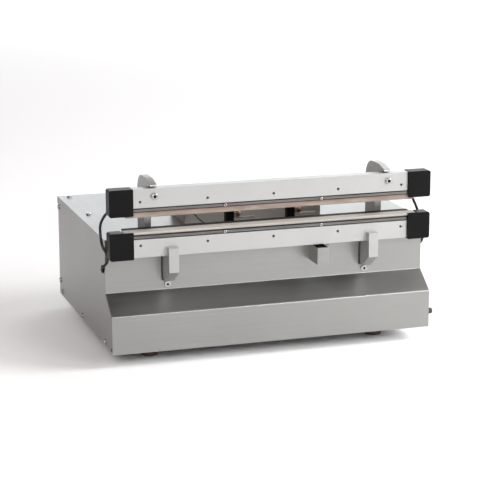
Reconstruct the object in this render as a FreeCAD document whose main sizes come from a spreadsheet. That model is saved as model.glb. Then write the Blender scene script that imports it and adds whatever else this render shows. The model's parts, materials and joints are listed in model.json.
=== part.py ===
import FreeCAD, Part
import math
import os

import Sketcher

# Impulse heat sealer for the bench. +X is to the right, +Y to the rear and +Z up. The origin is on
# the floor, under the middle of the machine. The upper jaw stands still on two posts; the lower jaw
# is lifted against it by two solenoids, on two carrier arms that pass through the front panel.
# "depth" is counted from the front panel's face to the rear, "level" from that panel's lower edge up.

DIMENSIONS = (
    ("housing_width", 500, "across the outer faces of the side panels"),
    ("housing_depth", 362, "front face to the rear edge of the side panels"),
    ("housing_height", 164.6, "lower edge of the front panel to the top cover"),
    ("foot_reach", 20, "floor to the lower edge of the front panel"),
    ("sheet", 1.5, "stainless sheet of the housing"),
    ("bend_radius", 2, "inside radius of a bend"),
    ("return_flange", 10, "depth of the front panel's turned-in edges"),
    ("rim_flange", 25, "width of the side panels' upper rim"),
    ("lower_panel_height", 57.5, "vertical lower part of the front"),
    ("step_depth", 37.2, "setback of the upper part of the front"),
    ("step_rise", 26.4, "height of the sloping part of the front"),
    ("side_lift", 2.8, "side panels above the lower edge of the front"),
    ("corner_notch", 9, "notch in the side panels' lower front corner"),
    ("rear_overhang", 4.6, "top cover past the side panels"),
    ("rear_lip", 12.5, "height of the top cover's rear lip"),
    ("tray_flange", 20, "height of the tray's side flanges"),
    ("rear_proud", 12, "rear fittings past the side panels"),
    ("foot_radius", 14, "rubber foot at its top"),
    ("foot_taper", 1.5, "foot radius lost towards the floor"),
    ("foot_inset", 70, "foot from the side"),
    ("foot_depth", 56, "front feet from the front, and rear feet from the rear"),
    ("screw_radius", 2, "shank of the housing screws"),
    ("screw_head", 4, "head radius of the housing screws"),
    ("screw_head_height", 2.4, "head height of the housing screws"),
    ("screw_length", 7, "shank length of the housing screws"),
    ("screw_gap", 0.15, "radial clearance of a screw hole"),
    ("low_screw_level", 9, "bottom row of side screws"),
    ("low_screw_first", 44.8, "first screw of the bottom row, from the front"),
    ("low_screw_pitch", 150, "pitch of the bottom row"),
    ("rear_screw_low", 27, "lower rear side screw"),
    ("rear_screw_drop", 15.6, "upper rear side screw below the top cover"),
    ("rear_screw_inset", 9, "rear side screws from the rear edge"),
    ("cover_screw_inset", 17.4, "top cover screws from the side"),
    ("cover_screw_first", 76.4, "first top cover screw, from the front"),
    ("cover_screw_pitch", 138, "pitch of the top cover screws"),
    ("jaw_half_length", 214, "half of the bar between the end caps"),
    ("jaw_setback", 8.4, "bar face behind the front panel's face"),
    ("bar_depth", 16, "front to rear of a jaw bar"),
    ("bar_recess", 3.6, "step in the bar behind the clamp strip"),
    ("seal_rise", 15.4, "top of the lower sealing strip above the top cover, at rest"),
    ("jaw_gap", 20.5, "open gap between the sealing faces, at rest"),
    ("jaw_play", 0.5, "gap left between the faces at the end of the lift"),
    ("tape_thickness", 0.6, "woven tape over the heating band"),
    ("tape_height", 9, "height of the tape's walls"),
    ("tape_overrun", 10, "tape past the bar's end"),
    ("pad_height", 4.6, "heat-resistant pad behind the heating band"),
    ("band_height", 0.5, "heating band"),
    ("band_width", 6, "heating band"),
    ("band_overrun", 16, "heating band past the bar's end"),
    ("upper_core", 8.9, "narrow part of the upper bar"),
    ("upper_bar_height", 28.2, "full-depth part of the upper bar"),
    ("lower_bar_height", 26.7, "full-depth part of the lower bar"),
    ("lower_core", 7.6, "narrow part of the lower bar"),
    ("strip_height", 4, "sealing strip on the lower bar"),
    ("strip_overrun", 14, "sealing strip past the bar's end"),
    ("clamp_height", 5.8, "clamp strips that hold tape and sealing strip"),
    ("clamp_thickness", 2.4, "clamp strips"),
    ("clamp_gap", 0.5, "clamp strip from the bar's step"),
    ("clamp_screw_spread", 75, "clamp screws from the middle"),
    ("clamp_screw_head", 2.4, "head radius of a clamp screw"),
    ("face_hole_radius", 2, "blind holes in the bars' faces"),
    ("face_hole_depth", 6, "blind holes in the bars' faces"),
    ("face_hole_pitch", 101.7, "pitch of the five blind holes"),
    ("face_hole_rise", 9, "blind holes from the bar's edge at the jaw gap"),
    ("cap_length", 36, "end cap along the jaw"),
    ("cap_proud", 3.3, "end cap in front of the bar"),
    ("cap_back", 1.2, "end cap behind the bar"),
    ("cap_wall", 2.4, "wall of an end cap"),
    ("cap_round", 3.5, "rounded corners of an end cap"),
    ("upper_cap_height", 40, "upper end cap"),
    ("upper_cap_top", 0.7, "upper end cap above the bar"),
    ("lower_cap_height", 40.6, "lower end cap"),
    ("lower_cap_drop", 2.2, "lower end cap below the bar"),
    ("rear_shelf_depth", 12, "black shelf behind the sealing strip"),
    ("rear_shelf_height", 3.5, "black shelf behind the sealing strip"),
    ("rear_shelf_leg", 22, "leg of the shelf on the bar's rear face"),
    ("rear_shelf_leg_thickness", 3, "leg of the shelf"),
    ("post_spread", 182, "middle of the post plates from the middle"),
    ("post_thickness", 10, "post plates"),
    ("post_front", 48, "front edge of a post"),
    ("post_width", 40, "front to rear of a post"),
    ("post_rise", 88.4, "posts above the top cover"),
    ("post_shoulder", 26, "round of the post's rear top corner"),
    ("hook_reach", 11, "hook in front of the bar's rear face"),
    ("hook_gap", 1.3, "hook above the bar"),
    ("hook_tip", 3.5, "height of the hook's tip"),
    ("head_rise", 46.9, "underside of the post's head above the top cover"),
    ("seat_gap", 0.2, "post from the bar and tape"),
    ("bolt_radius", 3, "shank of the jaw and post bolts"),
    ("bolt_head", 5, "head radius of the bolts"),
    ("bolt_head_height", 4, "head height of the bolts"),
    ("bolt_socket", 2.5, "socket radius of the bolts"),
    ("bolt_shank", 24, "shank length of the bolts"),
    ("jaw_bolt_rise", 66.9, "bolts that hold the upper bar, above the top cover"),
    ("bracket_width", 15, "post bracket, along its foot"),
    ("bracket_thickness", 6, "post bracket"),
    ("bracket_height", 46, "post bracket, up the post"),
    ("bracket_length", 32, "post bracket, front to rear"),
    ("bridge_drop", 18.6, "underside of the guide bridge below the top cover"),
    ("bridge_height", 8, "guide bridge"),
    ("bridge_depth", 28, "front to rear of the guide bridge"),
    ("carrier_spread", 156, "middle of the carrier arms from the middle"),
    ("carrier_width", 15, "carrier arm across"),
    ("carrier_plate", 10, "front plate of a carrier arm"),
    ("carrier_plate_drop", 10.1, "front plate's upper edge below the top cover"),
    ("carrier_plate_height", 37, "front plate of a carrier arm, up and down"),
    ("carrier_tail", 60, "rear end of a carrier arm"),
    ("carriage_drop", 72.6, "underside of the carriage beam below the top cover"),
    ("carriage_height", 30, "carriage beam"),
    ("carriage_depth", 24, "front to rear of the carriage beam"),
    ("carriage_overrun", 12, "carriage beam past the arms' middles"),
    ("slot_gap", 1.5, "carrier arm in its slot, each side"),
    ("slot_drop", 67.1, "lower end of the front panel's slots below the top cover"),
    ("slot_low_gap", 0.9, "carrier arm above the slot's end"),
    ("slot_screw_drop", 5.9, "screw under a slot"),
    ("slot_screw_head", 5.3, "head radius of that screw"),
    ("guide_spread", 112, "guide shafts from the middle"),
    ("guide_radius", 5, "guide shafts"),
    ("guide_gap", 0.05, "running clearance of the guide bushes"),
    ("guide_flange", 13, "foot of a guide shaft"),
    ("guide_flange_height", 5, "foot of a guide shaft"),
    ("bush_radius", 8, "outside of the guide bushes"),
    ("spring_radius", 7.6, "mean radius of the return springs"),
    ("spring_wire", 0.6, "wire radius of the return springs"),
    ("spring_turns", 4, "turns of a return spring"),
    ("solenoid_spread", 52, "lifting solenoids from the middle"),
    ("yoke_width", 50, "solenoid yoke across"),
    ("yoke_depth", 38, "solenoid yoke, front to rear"),
    ("yoke_height", 66, "solenoid yoke"),
    ("yoke_plate", 6, "solenoid yoke"),
    ("coil_radius", 17, "solenoid coil"),
    ("coil_gap", 1, "coil from the yoke's plates"),
    ("plunger_radius", 8, "solenoid plunger"),
    ("plunger_gap", 0.1, "plunger in its coil"),
    ("plunger_start", 12, "plunger above the tray at rest"),
    ("rod_radius", 1.4, "trip rod under the lower bar"),
    ("rod_spread", 75, "trip rod and its hood from the middle"),
    ("rod_reach", 26, "trip rod below the bar"),
    ("hood_width", 18, "trip rod hood"),
    ("hood_height", 26, "trip rod hood"),
    ("hood_gap", 3.4, "hood below the lower bar"),
    ("hood_wall", 1.2, "sheet of the hood"),
    ("sensor_width", 10, "position sensor in the hood"),
    ("sensor_depth", 12, "position sensor in the hood"),
    ("sensor_height", 20, "position sensor in the hood"),
    ("console_half", 109, "half width of the control console"),
    ("console_front", 105, "front face of the control console"),
    ("console_depth", 80, "front to rear of the control console"),
    ("console_height", 38, "control console above the top cover"),
    ("knob_radius", 15, "time knob"),
    ("knob_height", 12, "time knob"),
    ("knob_spread", 52, "time knob from the middle"),
    ("control_gap", 0.6, "moving control above the console"),
    ("spindle_radius", 3, "spindle of the time knob"),
    ("rocker_length", 24, "power switch rocker, front to rear"),
    ("rocker_width", 12, "power switch rocker"),
    ("rocker_frame", 3, "rim of the power switch"),
    ("rocker_throw", 14, "degrees that the rocker turns, half of it each way"),
    ("rocker_spread", 60, "power switch from the middle"),
    ("lamp_radius", 5, "power lamp"),
    ("stop_spread", 48.5, "film switches from the middle"),
    ("stop_width", 12, "film switch block across"),
    ("stop_front", 68, "film switch block"),
    ("stop_depth", 12, "film switch block"),
    ("stop_height", 27.4, "film switch block"),
    ("lever_length", 34, "film lever"),
    ("lever_hub", 9, "film lever, the part beside the block"),
    ("lever_depth", 6, "film lever"),
    ("lever_drop", 5, "film lever below the top of its block"),
    ("lever_reach", 11.5, "film lever from top to bottom"),
    ("lever_arm", 2, "thickness of the film lever's arm"),
    ("lever_gap", 0.5, "film lever from its block"),
    ("core_width", 96, "transformer core"),
    ("core_depth", 46, "transformer core"),
    ("core_height", 80, "transformer core"),
    ("core_leg", 16, "outer leg of the transformer core"),
    ("winding_bulge", 13, "winding past the core, front and rear"),
    ("transformer_spread", 120, "transformer from the middle"),
    ("transformer_depth", 210, "transformer from the front"),
    ("board_length", 150, "control board across"),
    ("board_depth", 100, "control board, front to rear"),
    ("board_thickness", 1.6, "control board"),
    ("board_lift", 10, "control board above the tray"),
    ("board_spread", 125, "control board from the middle"),
    ("spacer_radius", 4, "board spacers"),
    ("gland_radius", 10, "mains cord gland"),
    ("gland_bore", 4.1, "mains cord gland"),
    ("gland_inside", 8, "gland inside the rear panel"),
    ("gland_spread", 180, "gland and fuse from the middle"),
    ("fuse_radius", 7, "fuse holder cap"),
    ("fitting_level", 40, "row of rear fittings"),
    ("fitting_pitch", 45, "pitch of the rear fittings"),
    ("vent_length", 46, "rear ventilation slots"),
    ("vent_height", 3, "rear ventilation slots"),
    ("vent_pitch", 9, "pitch of the ventilation slots"),
    ("vent_rows", 7, "ventilation slots in one column"),
    ("lead_radius", 2, "leads of the heating band"),
    ("lead_standoff", 3.8, "lead's middle from the side panel"),
    ("grommet_radius", 6, "grommets in the side panels"),
    ("grommet_bore", 4.6, "grommets in the side panels"),
    ("grommet_drop", 46.8, "grommets in the side panels, below the top cover"),
    ("grommet_depth", 52, "grommets in the side panels"),
    ("plug_radius", 4.7, "blanking plug in the right side"),
    ("plug_level", 23, "blanking plug"),
    ("plug_depth", 7.5, "blanking plug from the front"),
    ("plug_height", 9, "blanking plug's dome"),
)

document = FreeCAD.newDocument("impulse_heat_sealer")


def fill_sheet():
    """Writes the driving dimensions to the sheet, one row each."""
    cells = document.addObject("Spreadsheet::Sheet", "Dimensions")
    for row, (alias, value, note) in enumerate(DIMENSIONS, start=1):
        cells.set(f"A{row}", alias)
        cells.set(f"B{row}", str(value))
        cells.set(f"C{row}", note)
        cells.setAlias(f"B{row}", alias)
    document.recompute()
    return cells


sheet = fill_sheet()


class Size:
    """A length that carries both its number and the sheet expression that gives it."""

    def __init__(self, value, text):
        self.value = float(value)
        self.text = text

    def __add__(self, other):
        return combine(self, other, "+", lambda a, b: a + b)

    def __radd__(self, other):
        return combine(other, self, "+", lambda a, b: a + b)

    def __sub__(self, other):
        return combine(self, other, "-", lambda a, b: a - b)

    def __rsub__(self, other):
        return combine(other, self, "-", lambda a, b: a - b)

    def __mul__(self, other):
        return combine(self, other, "*", lambda a, b: a * b)

    def __rmul__(self, other):
        return combine(other, self, "*", lambda a, b: a * b)

    def __truediv__(self, other):
        return combine(self, other, "/", lambda a, b: a / b)

    def __neg__(self):
        return combine(-1, self, "*", lambda a, b: a * b)

    def __float__(self):
        return self.value


def text_of(term):
    """The sheet expression of a size, or a plain number as text."""
    return term.text if isinstance(term, Size) else f"({float(term)!r})"


def combine(left, right, sign, operate):
    return Size(operate(float(left), float(right)), f"({text_of(left)} {sign} {text_of(right)})")


def root(term):
    return Size(math.sqrt(float(term)), f"sqrt({term.text})")


def cell(alias):
    return Size(sheet.get(alias), f"Dimensions.{alias}")


class Cells:
    """The sheet's cells by name, such as d.housing_width."""

    def __getattr__(self, alias):
        return cell(alias)


d = Cells()


def bind(item, path, term):
    """Sets a property to a number, or binds it to the sheet."""
    if isinstance(term, Size):
        item.setExpression(path, term.text)
    else:
        item.setExpression(path, text_of(term))


# Shared places

half = d.housing_width / 2
arm_proud = d.carrier_plate - d.jaw_setback
front = (d.housing_depth + d.rear_proud - arm_proud) / -2
rear = front + d.housing_depth
base = d.foot_reach
roof = base + d.housing_height
tray_low = base + d.sheet
tray_top = tray_low + d.sheet
upper_face = front + d.step_depth
upper_inside = upper_face + d.sheet
bar_front = front + d.jaw_setback
bar_rear = bar_front + d.bar_depth
core_front = bar_front + d.bar_recess
lift = d.jaw_gap - d.jaw_play
seal_top = roof + d.seal_rise
lower_core_top = seal_top - d.strip_height
lower_bar_top = lower_core_top - d.lower_core
lower_bar_low = lower_bar_top - d.lower_bar_height
tape_low = seal_top + d.jaw_gap
pad_low = tape_low + d.tape_thickness + d.band_height
upper_core_low = pad_low + d.pad_height
upper_bar_low = upper_core_low + d.upper_core
upper_bar_top = upper_bar_low + d.upper_bar_height
cap_front = bar_front - d.cap_proud
cap_rear = bar_rear + d.cap_back
upper_cap_top = upper_bar_top + d.upper_cap_top
upper_cap_low = upper_cap_top - d.upper_cap_height
lower_cap_low = lower_bar_low - d.lower_cap_drop
lower_cap_top = lower_cap_low + d.lower_cap_height
guide_depth = front + d.carrier_tail + d.carriage_depth / 2
carriage_low = roof - d.carriage_drop
carriage_top = carriage_low + d.carriage_height
bridge_low = roof - d.bridge_drop
post_front = front + d.post_front
post_rear = post_front + d.post_width
head_low = roof + d.head_rise
jaw_bolt_level = roof + d.jaw_bolt_rise
slope = root(d.step_depth * d.step_depth + d.step_rise * d.step_rise)
fold = d.sheet * (slope - d.step_rise) / d.step_depth
lower_bend = base + d.lower_panel_height
upper_bend = lower_bend + d.step_rise
hole_radius = d.screw_radius + d.screw_gap
bolt_hole = d.bolt_radius + d.screw_gap
console_front = front + d.console_front
console_rear = console_front + d.console_depth
console_middle = console_front + d.console_depth / 2
console_top = roof + d.console_height
arm_front = bar_front - d.carrier_plate
carrier_plate_top = roof - d.carrier_plate_drop
fitting_level = base + d.fitting_level
guide_sides = (-1, 1)

nodes = []


def keep(item):
    """Marks an object as a finished sub-part, which gets a file of its own."""
    nodes.append(item)
    return item


def in_order(first, second):
    """Two sizes, the lower one first."""
    return sorted((first, second), key=float)


def rectangle(left, right, low, high):
    return ((left, low), (right, low), (right, high), (left, high))


class Ring:
    """A circle in a sketch."""

    def __init__(self, across, up, radius):
        self.across = across
        self.up = up
        self.radius = radius


class Piece:
    """A PartDesign body, padded and cut from outlines on its origin planes.

    side outlines are (Y, Z) and run along X, front outlines are (X, Z) and run along Y, and plan
    outlines are (X, Y) and run along Z. low and high are where a pad or a cut starts and ends.
    """

    roles = {"side": "YZ_Plane", "front": "XZ_Plane", "plan": "XY_Plane"}

    def __init__(self, label):
        self.label = label
        self.body = document.addObject("PartDesign::Body", label)
        self.body.Label = label
        self.cuts = []

    def sketch(self, plane, offset, outlines):
        drawing = self.body.newObject("Sketcher::SketchObject", f"{self.label}_{plane}_sketch")
        role = self.roles[plane]
        support = [item for item in self.body.Origin.OriginFeatures if item.Role == role][0]
        drawing.AttachmentSupport = [(support, "")]
        drawing.MapMode = "FlatFace"
        bind(drawing, "AttachmentOffset.Base.z", -offset if plane == "front" else offset)
        for outline in outlines:
            if isinstance(outline, Ring):
                draw_ring(drawing, outline)
            else:
                draw_outline(drawing, outline)
        return drawing

    def pad(self, plane, outlines, low, high):
        start = high if plane == "front" else low
        feature = self.body.newObject("PartDesign::Pad", f"{self.label}_pad")
        feature.Profile = self.sketch(plane, start, outlines)
        bind(feature, "Length", high - low)
        return self

    def cut(self, plane, outlines, low, high):
        start = low if plane == "front" else high
        feature = self.body.newObject("PartDesign::Pocket", f"{self.label}_cut")
        feature.Profile = self.sketch(plane, start, outlines)
        bind(feature, "Length", high - low)
        self.cuts.append(feature)
        return self

    def round(self, radius, axis, places):
        """Rounds the straight edges that run along an axis through the given places."""
        document.recompute()
        tip = self.body.Tip
        names = edges_through(tip.Shape, axis, places)
        feature = self.body.newObject("PartDesign::Fillet", f"{self.label}_round")
        feature.Base = (tip, names)
        bind(feature, "Radius", radius)
        return self

    def done(self):
        document.recompute()
        for feature in self.cuts:
            if feature.Shape.Volume > feature.BaseFeature.Shape.Volume - 1e-3:
                raise RuntimeError(f"{feature.Name} cuts nothing")
        return keep(self.body)


def point(pair):
    return FreeCAD.Vector(float(pair[0]), float(pair[1]), 0)


def pin_down(drawing, geometry, position, pair):
    """Holds a point of a sketch at the two sizes in pair."""
    for kind, term in (("DistanceX", pair[0]), ("DistanceY", pair[1])):
        index = drawing.addConstraint(
            Sketcher.Constraint(kind, -1, 1, geometry, position, float(term))
        )
        bind(drawing, f"Constraints[{index}]", term)


def draw_outline(drawing, outline):
    first = drawing.GeometryCount
    count = len(outline)
    for index in range(count):
        start = point(outline[index])
        end = point(outline[(index + 1) % count])
        drawing.addGeometry(Part.LineSegment(start, end), False)
    for index in range(count):
        following = first + (index + 1) % count
        drawing.addConstraint(Sketcher.Constraint("Coincident", first + index, 2, following, 1))
        pin_down(drawing, first + index, 1, outline[index])


def draw_ring(drawing, ring):
    index = drawing.GeometryCount
    centre = point((ring.across, ring.up))
    drawing.addGeometry(Part.Circle(centre, FreeCAD.Vector(0, 0, 1), float(ring.radius)), False)
    radius_index = drawing.addConstraint(Sketcher.Constraint("Radius", index, float(ring.radius)))
    bind(drawing, f"Constraints[{radius_index}]", ring.radius)
    pin_down(drawing, index, 3, (ring.across, ring.up))


def edges_through(shape, axis, places):
    """Names of the straight edges along axis 0, 1 or 2 whose other coordinates match a place."""
    others = [index for index in (0, 1, 2) if index != axis]
    names = []
    for number, edge in enumerate(shape.Edges, start=1):
        ends = [vertex.Point for vertex in edge.Vertexes]
        if len(ends) != 2 or not isinstance(edge.Curve, Part.Line):
            continue
        if abs(ends[0][axis] - ends[1][axis]) < 1e-6:
            continue
        for place in places:
            near = [abs(end[o] - float(v)) < 1e-4 for end in ends for o, v in zip(others, place)]
            if all(near):
                names.append(f"Edge{number}")
    if not names:
        raise RuntimeError(f"no edge to round at {places}")
    return names


# Part primitives

AXIS_TURNS = {
    "x": FreeCAD.Rotation(FreeCAD.Vector(0, 1, 0), 90),
    "y": FreeCAD.Rotation(FreeCAD.Vector(1, 0, 0), -90),
    "z": FreeCAD.Rotation(),
}


def box(label, x, y, z):
    item = document.addObject("Part::Box", label)
    for path, (low, high) in (("Length", x), ("Width", y), ("Height", z)):
        bind(item, path, high - low)
    for path, (low, high) in (("x", x), ("y", y), ("z", z)):
        bind(item, f"Placement.Base.{path}", low)
    return item


def set_along(item, axis, low, place):
    """Turns a round primitive along an axis and binds its place."""
    item.Placement = FreeCAD.Placement(FreeCAD.Vector(), AXIS_TURNS[axis])
    others = [name for name in "xyz" if name != axis]
    bind(item, f"Placement.Base.{axis}", low)
    for name, term in zip(others, place):
        bind(item, f"Placement.Base.{name}", term)


def cylinder(label, axis, place, low, high, radius):
    """A cylinder along an axis; place gives its two other coordinates."""
    item = document.addObject("Part::Cylinder", label)
    bind(item, "Radius", radius)
    bind(item, "Height", high - low)
    set_along(item, axis, low, place)
    return item


def cone(label, axis, place, low, high, low_radius, high_radius):
    item = document.addObject("Part::Cone", label)
    bind(item, "Radius1", low_radius)
    bind(item, "Radius2", high_radius)
    bind(item, "Height", high - low)
    set_along(item, axis, low, place)
    return item


def fuse(label, pieces):
    item = document.addObject("Part::MultiFuse", label)
    item.Shapes = pieces
    return item


def subtract(label, body, tools):
    item = document.addObject("Part::Cut", label)
    item.Base = body
    item.Tool = tools[0] if len(tools) == 1 else fuse(f"{label}_tools", tools)
    return item


def group(label, pieces):
    """Several separate solids that share one node."""
    item = document.addObject("Part::Compound", label)
    item.Links = pieces
    return keep(item)


def feature(label, shape):
    item = document.addObject("Part::Feature", label)
    item.Shape = shape
    return keep(item)


# Fasteners

def screw_solid(head_radius, head_height, shank_radius, shank_length, socket_sides, socket_radius):
    """A screw along +Z: its head stands above the seat at z = 0, its shank goes down."""
    head = Part.makeCylinder(head_radius, head_height)
    rim = [edge for edge in head.Edges if abs(edge.BoundBox.ZMin - head_height) < 1e-6]
    head = head.makeFillet(head_height * 0.35, [rim[0]])
    shank = Part.makeCylinder(shank_radius, shank_length, FreeCAD.Vector(0, 0, -shank_length))
    socket_depth = head_height * 0.55
    corners = [
        FreeCAD.Vector(
            socket_radius * math.cos(2 * math.pi * turn / socket_sides),
            socket_radius * math.sin(2 * math.pi * turn / socket_sides),
            head_height - socket_depth,
        )
        for turn in range(socket_sides + 1)
    ]
    socket = Part.Face(Part.makePolygon(corners)).extrude(FreeCAD.Vector(0, 0, head_height))
    return head.fuse(shank).removeSplitter().cut(socket)


def placed(shape, x, y, z, direction):
    """A copy of a +Z solid, moved to a place and turned to a direction."""
    copy = shape.copy()
    turn = FreeCAD.Rotation(FreeCAD.Vector(0, 0, 1), FreeCAD.Vector(*direction))
    copy.Placement = FreeCAD.Placement(FreeCAD.Vector(float(x), float(y), float(z)), turn)
    return copy


# Housing

low_screw_depths = [front + d.low_screw_first + d.low_screw_pitch * step for step in range(3)]
low_screw_level = base + d.low_screw_level
rear_screw_depth = rear - d.rear_screw_inset
rear_screw_levels = [base + d.rear_screw_low, roof - d.rear_screw_drop]
side_screw_places = [(depth, low_screw_level) for depth in low_screw_depths]
side_screw_places += [(rear_screw_depth, level) for level in rear_screw_levels]
cover_screw_depths = [front + d.cover_screw_first + d.cover_screw_pitch * step for step in range(3)]
cover_screw_across = half - d.cover_screw_inset
feet_places = [
    (side * (half - d.foot_inset), depth)
    for side in (-1, 1)
    for depth in (front + d.foot_depth, rear - d.foot_depth)
]
slot_low = roof - d.slot_drop
slot_screw_level = slot_low - d.slot_screw_drop
slot_high = lower_bar_low + lift + d.slot_gap
grommet_depth = front + d.grommet_depth
grommet_level = roof - d.grommet_drop
inner_half = half - d.sheet


def make_front_panel():
    panel = Piece("front_panel")
    outline = (
        (front, base),
        (front, lower_bend),
        (upper_face, upper_bend),
        (upper_face, roof - d.sheet),
        (upper_inside, roof - d.sheet),
        (upper_inside, upper_bend - fold),
        (front + d.sheet, lower_bend - fold),
        (front + d.sheet, base),
    )
    panel.pad("side", [outline], -half, half)
    panel.round(
        d.bend_radius + d.sheet, 0, [(front, lower_bend), (upper_inside, upper_bend - fold)]
    )
    panel.round(d.bend_radius, 0, [(upper_face, upper_bend), (front + d.sheet, lower_bend - fold)])
    bottom_flange = rectangle(front, front + d.return_flange, base, base + d.sheet)
    top_flange = rectangle(
        upper_face, upper_face + d.return_flange, roof - d.sheet * 2, roof - d.sheet
    )
    flange_half = inner_half - d.seat_gap
    panel.pad("side", [bottom_flange, top_flange], -flange_half, flange_half)
    slots = []
    for side in (-1, 1):
        middle = side * d.carrier_spread
        reach = d.carrier_width / 2 + d.slot_gap
        slots.append(rectangle(middle - reach, middle + reach, slot_low, slot_high))
        slots.append(Ring(middle, slot_screw_level, bolt_hole))
    slots.append(Ring(d.rod_spread, lower_bar_low - d.hood_gap - d.hood_height / 2, hole_radius))
    panel.cut("front", slots, upper_face - d.sheet, upper_inside + d.sheet)
    panel.done()


def make_side_panel(label, side):
    panel = Piece(label)
    outline = (
        (front + d.sheet, base + d.corner_notch),
        (front + d.corner_notch, base + d.corner_notch),
        (front + d.corner_notch, base + d.side_lift),
        (rear, base + d.side_lift),
        (rear, roof - d.sheet),
        (upper_inside, roof - d.sheet),
        (upper_inside, upper_bend - fold - d.bend_radius),
        (front + d.sheet, lower_bend - fold - d.bend_radius),
    )
    outer, inner = (side * half, side * inner_half)
    low, high = (inner, outer) if side > 0 else (outer, inner)
    panel.pad("side", [outline], low, high)
    rim = (side * (half - d.rim_flange), inner)
    rim_low, rim_high = rim if side > 0 else rim[::-1]
    rim_front = upper_face + d.return_flange + d.seat_gap
    rim_outline = rectangle(rim_front, rear - d.sheet * 2, roof - d.sheet * 2, roof - d.sheet)
    panel.pad("side", [rim_outline], rim_low, rim_high)
    holes = [Ring(depth, level, hole_radius) for depth, level in side_screw_places]
    holes.append(Ring(grommet_depth, grommet_level, d.grommet_bore + d.sheet / 2))
    if side > 0:
        holes.append(Ring(front + d.plug_depth, base + d.plug_level, d.screw_radius))
    panel.cut("side", holes, low - d.sheet / 2, high + d.sheet / 2)
    rim_holes = [Ring(side * cover_screw_across, depth, hole_radius) for depth in cover_screw_depths]
    panel.cut("plan", rim_holes, roof - d.sheet * 3, roof)
    panel.done()


def make_top_cover():
    cover = Piece("top_cover")
    cover_rear = rear + d.rear_overhang
    outline = (
        (upper_face, roof),
        (upper_face, roof - d.sheet),
        (cover_rear - d.sheet, roof - d.sheet),
        (cover_rear - d.sheet, roof - d.rear_lip),
        (cover_rear, roof - d.rear_lip),
        (cover_rear, roof),
    )
    cover.pad("side", [outline], -half, half)
    cover.round(d.bend_radius, 0, [(cover_rear, roof)])
    openings = []
    for side in (-1, 1):
        middle = side * d.post_spread
        reach = d.post_thickness / 2 + d.seat_gap
        openings.append(
            rectangle(
                middle - reach, middle + reach, post_front - d.seat_gap, post_rear + d.seat_gap
            )
        )
        for depth in cover_screw_depths:
            openings.append(Ring(side * cover_screw_across, depth, hole_radius))
    cover.cut("plan", openings, roof - d.sheet * 1.5, roof + d.sheet)
    cover.done()


def make_rear_panel():
    panel = Piece("rear_panel")
    face = rectangle(-inner_half, inner_half, tray_top, roof - d.sheet)
    panel.pad("front", [face], rear - d.sheet, rear)
    flange_depth = d.rear_screw_inset * 1.6
    for side in (-1, 1):
        edges = in_order(side * inner_half, side * (inner_half - d.sheet))
        flange = rectangle(edges[0], edges[1], tray_top + d.tray_flange, roof - d.sheet * 2)
        panel.pad("front", [flange], rear - flange_depth, rear - d.sheet)
    flange_holes = [Ring(rear_screw_depth, level, hole_radius) for level in rear_screw_levels]
    panel.cut("side", flange_holes, -half, half)
    openings = [
        Ring(-d.gland_spread, fitting_level, d.gland_radius - d.sheet),
        Ring(d.fitting_pitch - d.gland_spread, fitting_level, d.fuse_radius - d.sheet),
    ]
    top_vent = roof - d.rear_lip - d.vent_pitch
    for column in (-1, 0, 1):
        middle = column * (d.vent_length + d.vent_pitch * 2)
        for row in range(int(d.vent_rows.value)):
            high = top_vent - d.vent_pitch * row
            openings.append(
                rectangle(
                    middle - d.vent_length / 2, middle + d.vent_length / 2,
                    high - d.vent_height, high,
                )
            )
    panel.cut("front", openings, rear - d.sheet * 1.5, rear + d.sheet)
    panel.done()


def make_base_tray():
    tray = Piece("base_tray")
    tray_front = front + d.sheet + d.seat_gap
    tray_rear = rear - d.sheet
    floor = rectangle(-inner_half, inner_half, tray_front, tray_rear)
    tray.pad("plan", [floor], tray_low, tray_top)
    flange_front = front + d.corner_notch * 2
    for side in (-1, 1):
        edges = in_order(side * inner_half, side * (inner_half - d.sheet))
        flange = rectangle(flange_front, tray_rear, tray_top, tray_top + d.tray_flange)
        tray.pad("side", [flange], edges[0], edges[1])
    holes = [Ring(depth, low_screw_level, hole_radius) for depth in low_screw_depths]
    tray.cut("side", holes, -half, half)
    foot_holes = [Ring(across, depth, hole_radius) for across, depth in feet_places]
    tray.cut("plan", foot_holes, tray_low - d.sheet, tray_top + d.sheet)
    tray.done()


foot_seat = tray_top - d.screw_length - d.seat_gap


def make_feet():
    feet = []
    for number, place in enumerate(feet_places):
        body = cone(f"foot_{number}", "z", place, 0, tray_low,
                    d.foot_radius - d.foot_taper, d.foot_radius)
        recess = cylinder(f"foot_recess_{number}", "z", place, -d.sheet, foot_seat,
                          d.screw_head + d.screw_gap * 2)
        hole = cylinder(f"foot_hole_{number}", "z", place, foot_seat - d.sheet,
                        tray_low + d.sheet, hole_radius)
        feet.append(subtract(f"foot_body_{number}", body, [recess, hole]))
    group("rubber_feet", feet)


def make_housing_screws():
    screw = screw_solid(
        d.screw_head.value, d.screw_head_height.value, d.screw_radius.value,
        d.screw_length.value, 4, d.screw_radius.value * 0.7,
    )
    screws = []
    for side in (-1, 1):
        for depth, level in side_screw_places:
            screws.append(placed(screw, side * half, depth, level, (side, 0, 0)))
        for depth in cover_screw_depths:
            screws.append(placed(screw, side * cover_screw_across, depth, roof, (0, 0, 1)))
    for across, depth in feet_places:
        screws.append(placed(screw, across, depth, foot_seat, (0, 0, -1)))
    feature("housing_screws", Part.makeCompound(screws))


# Upper jaw and its posts

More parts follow.
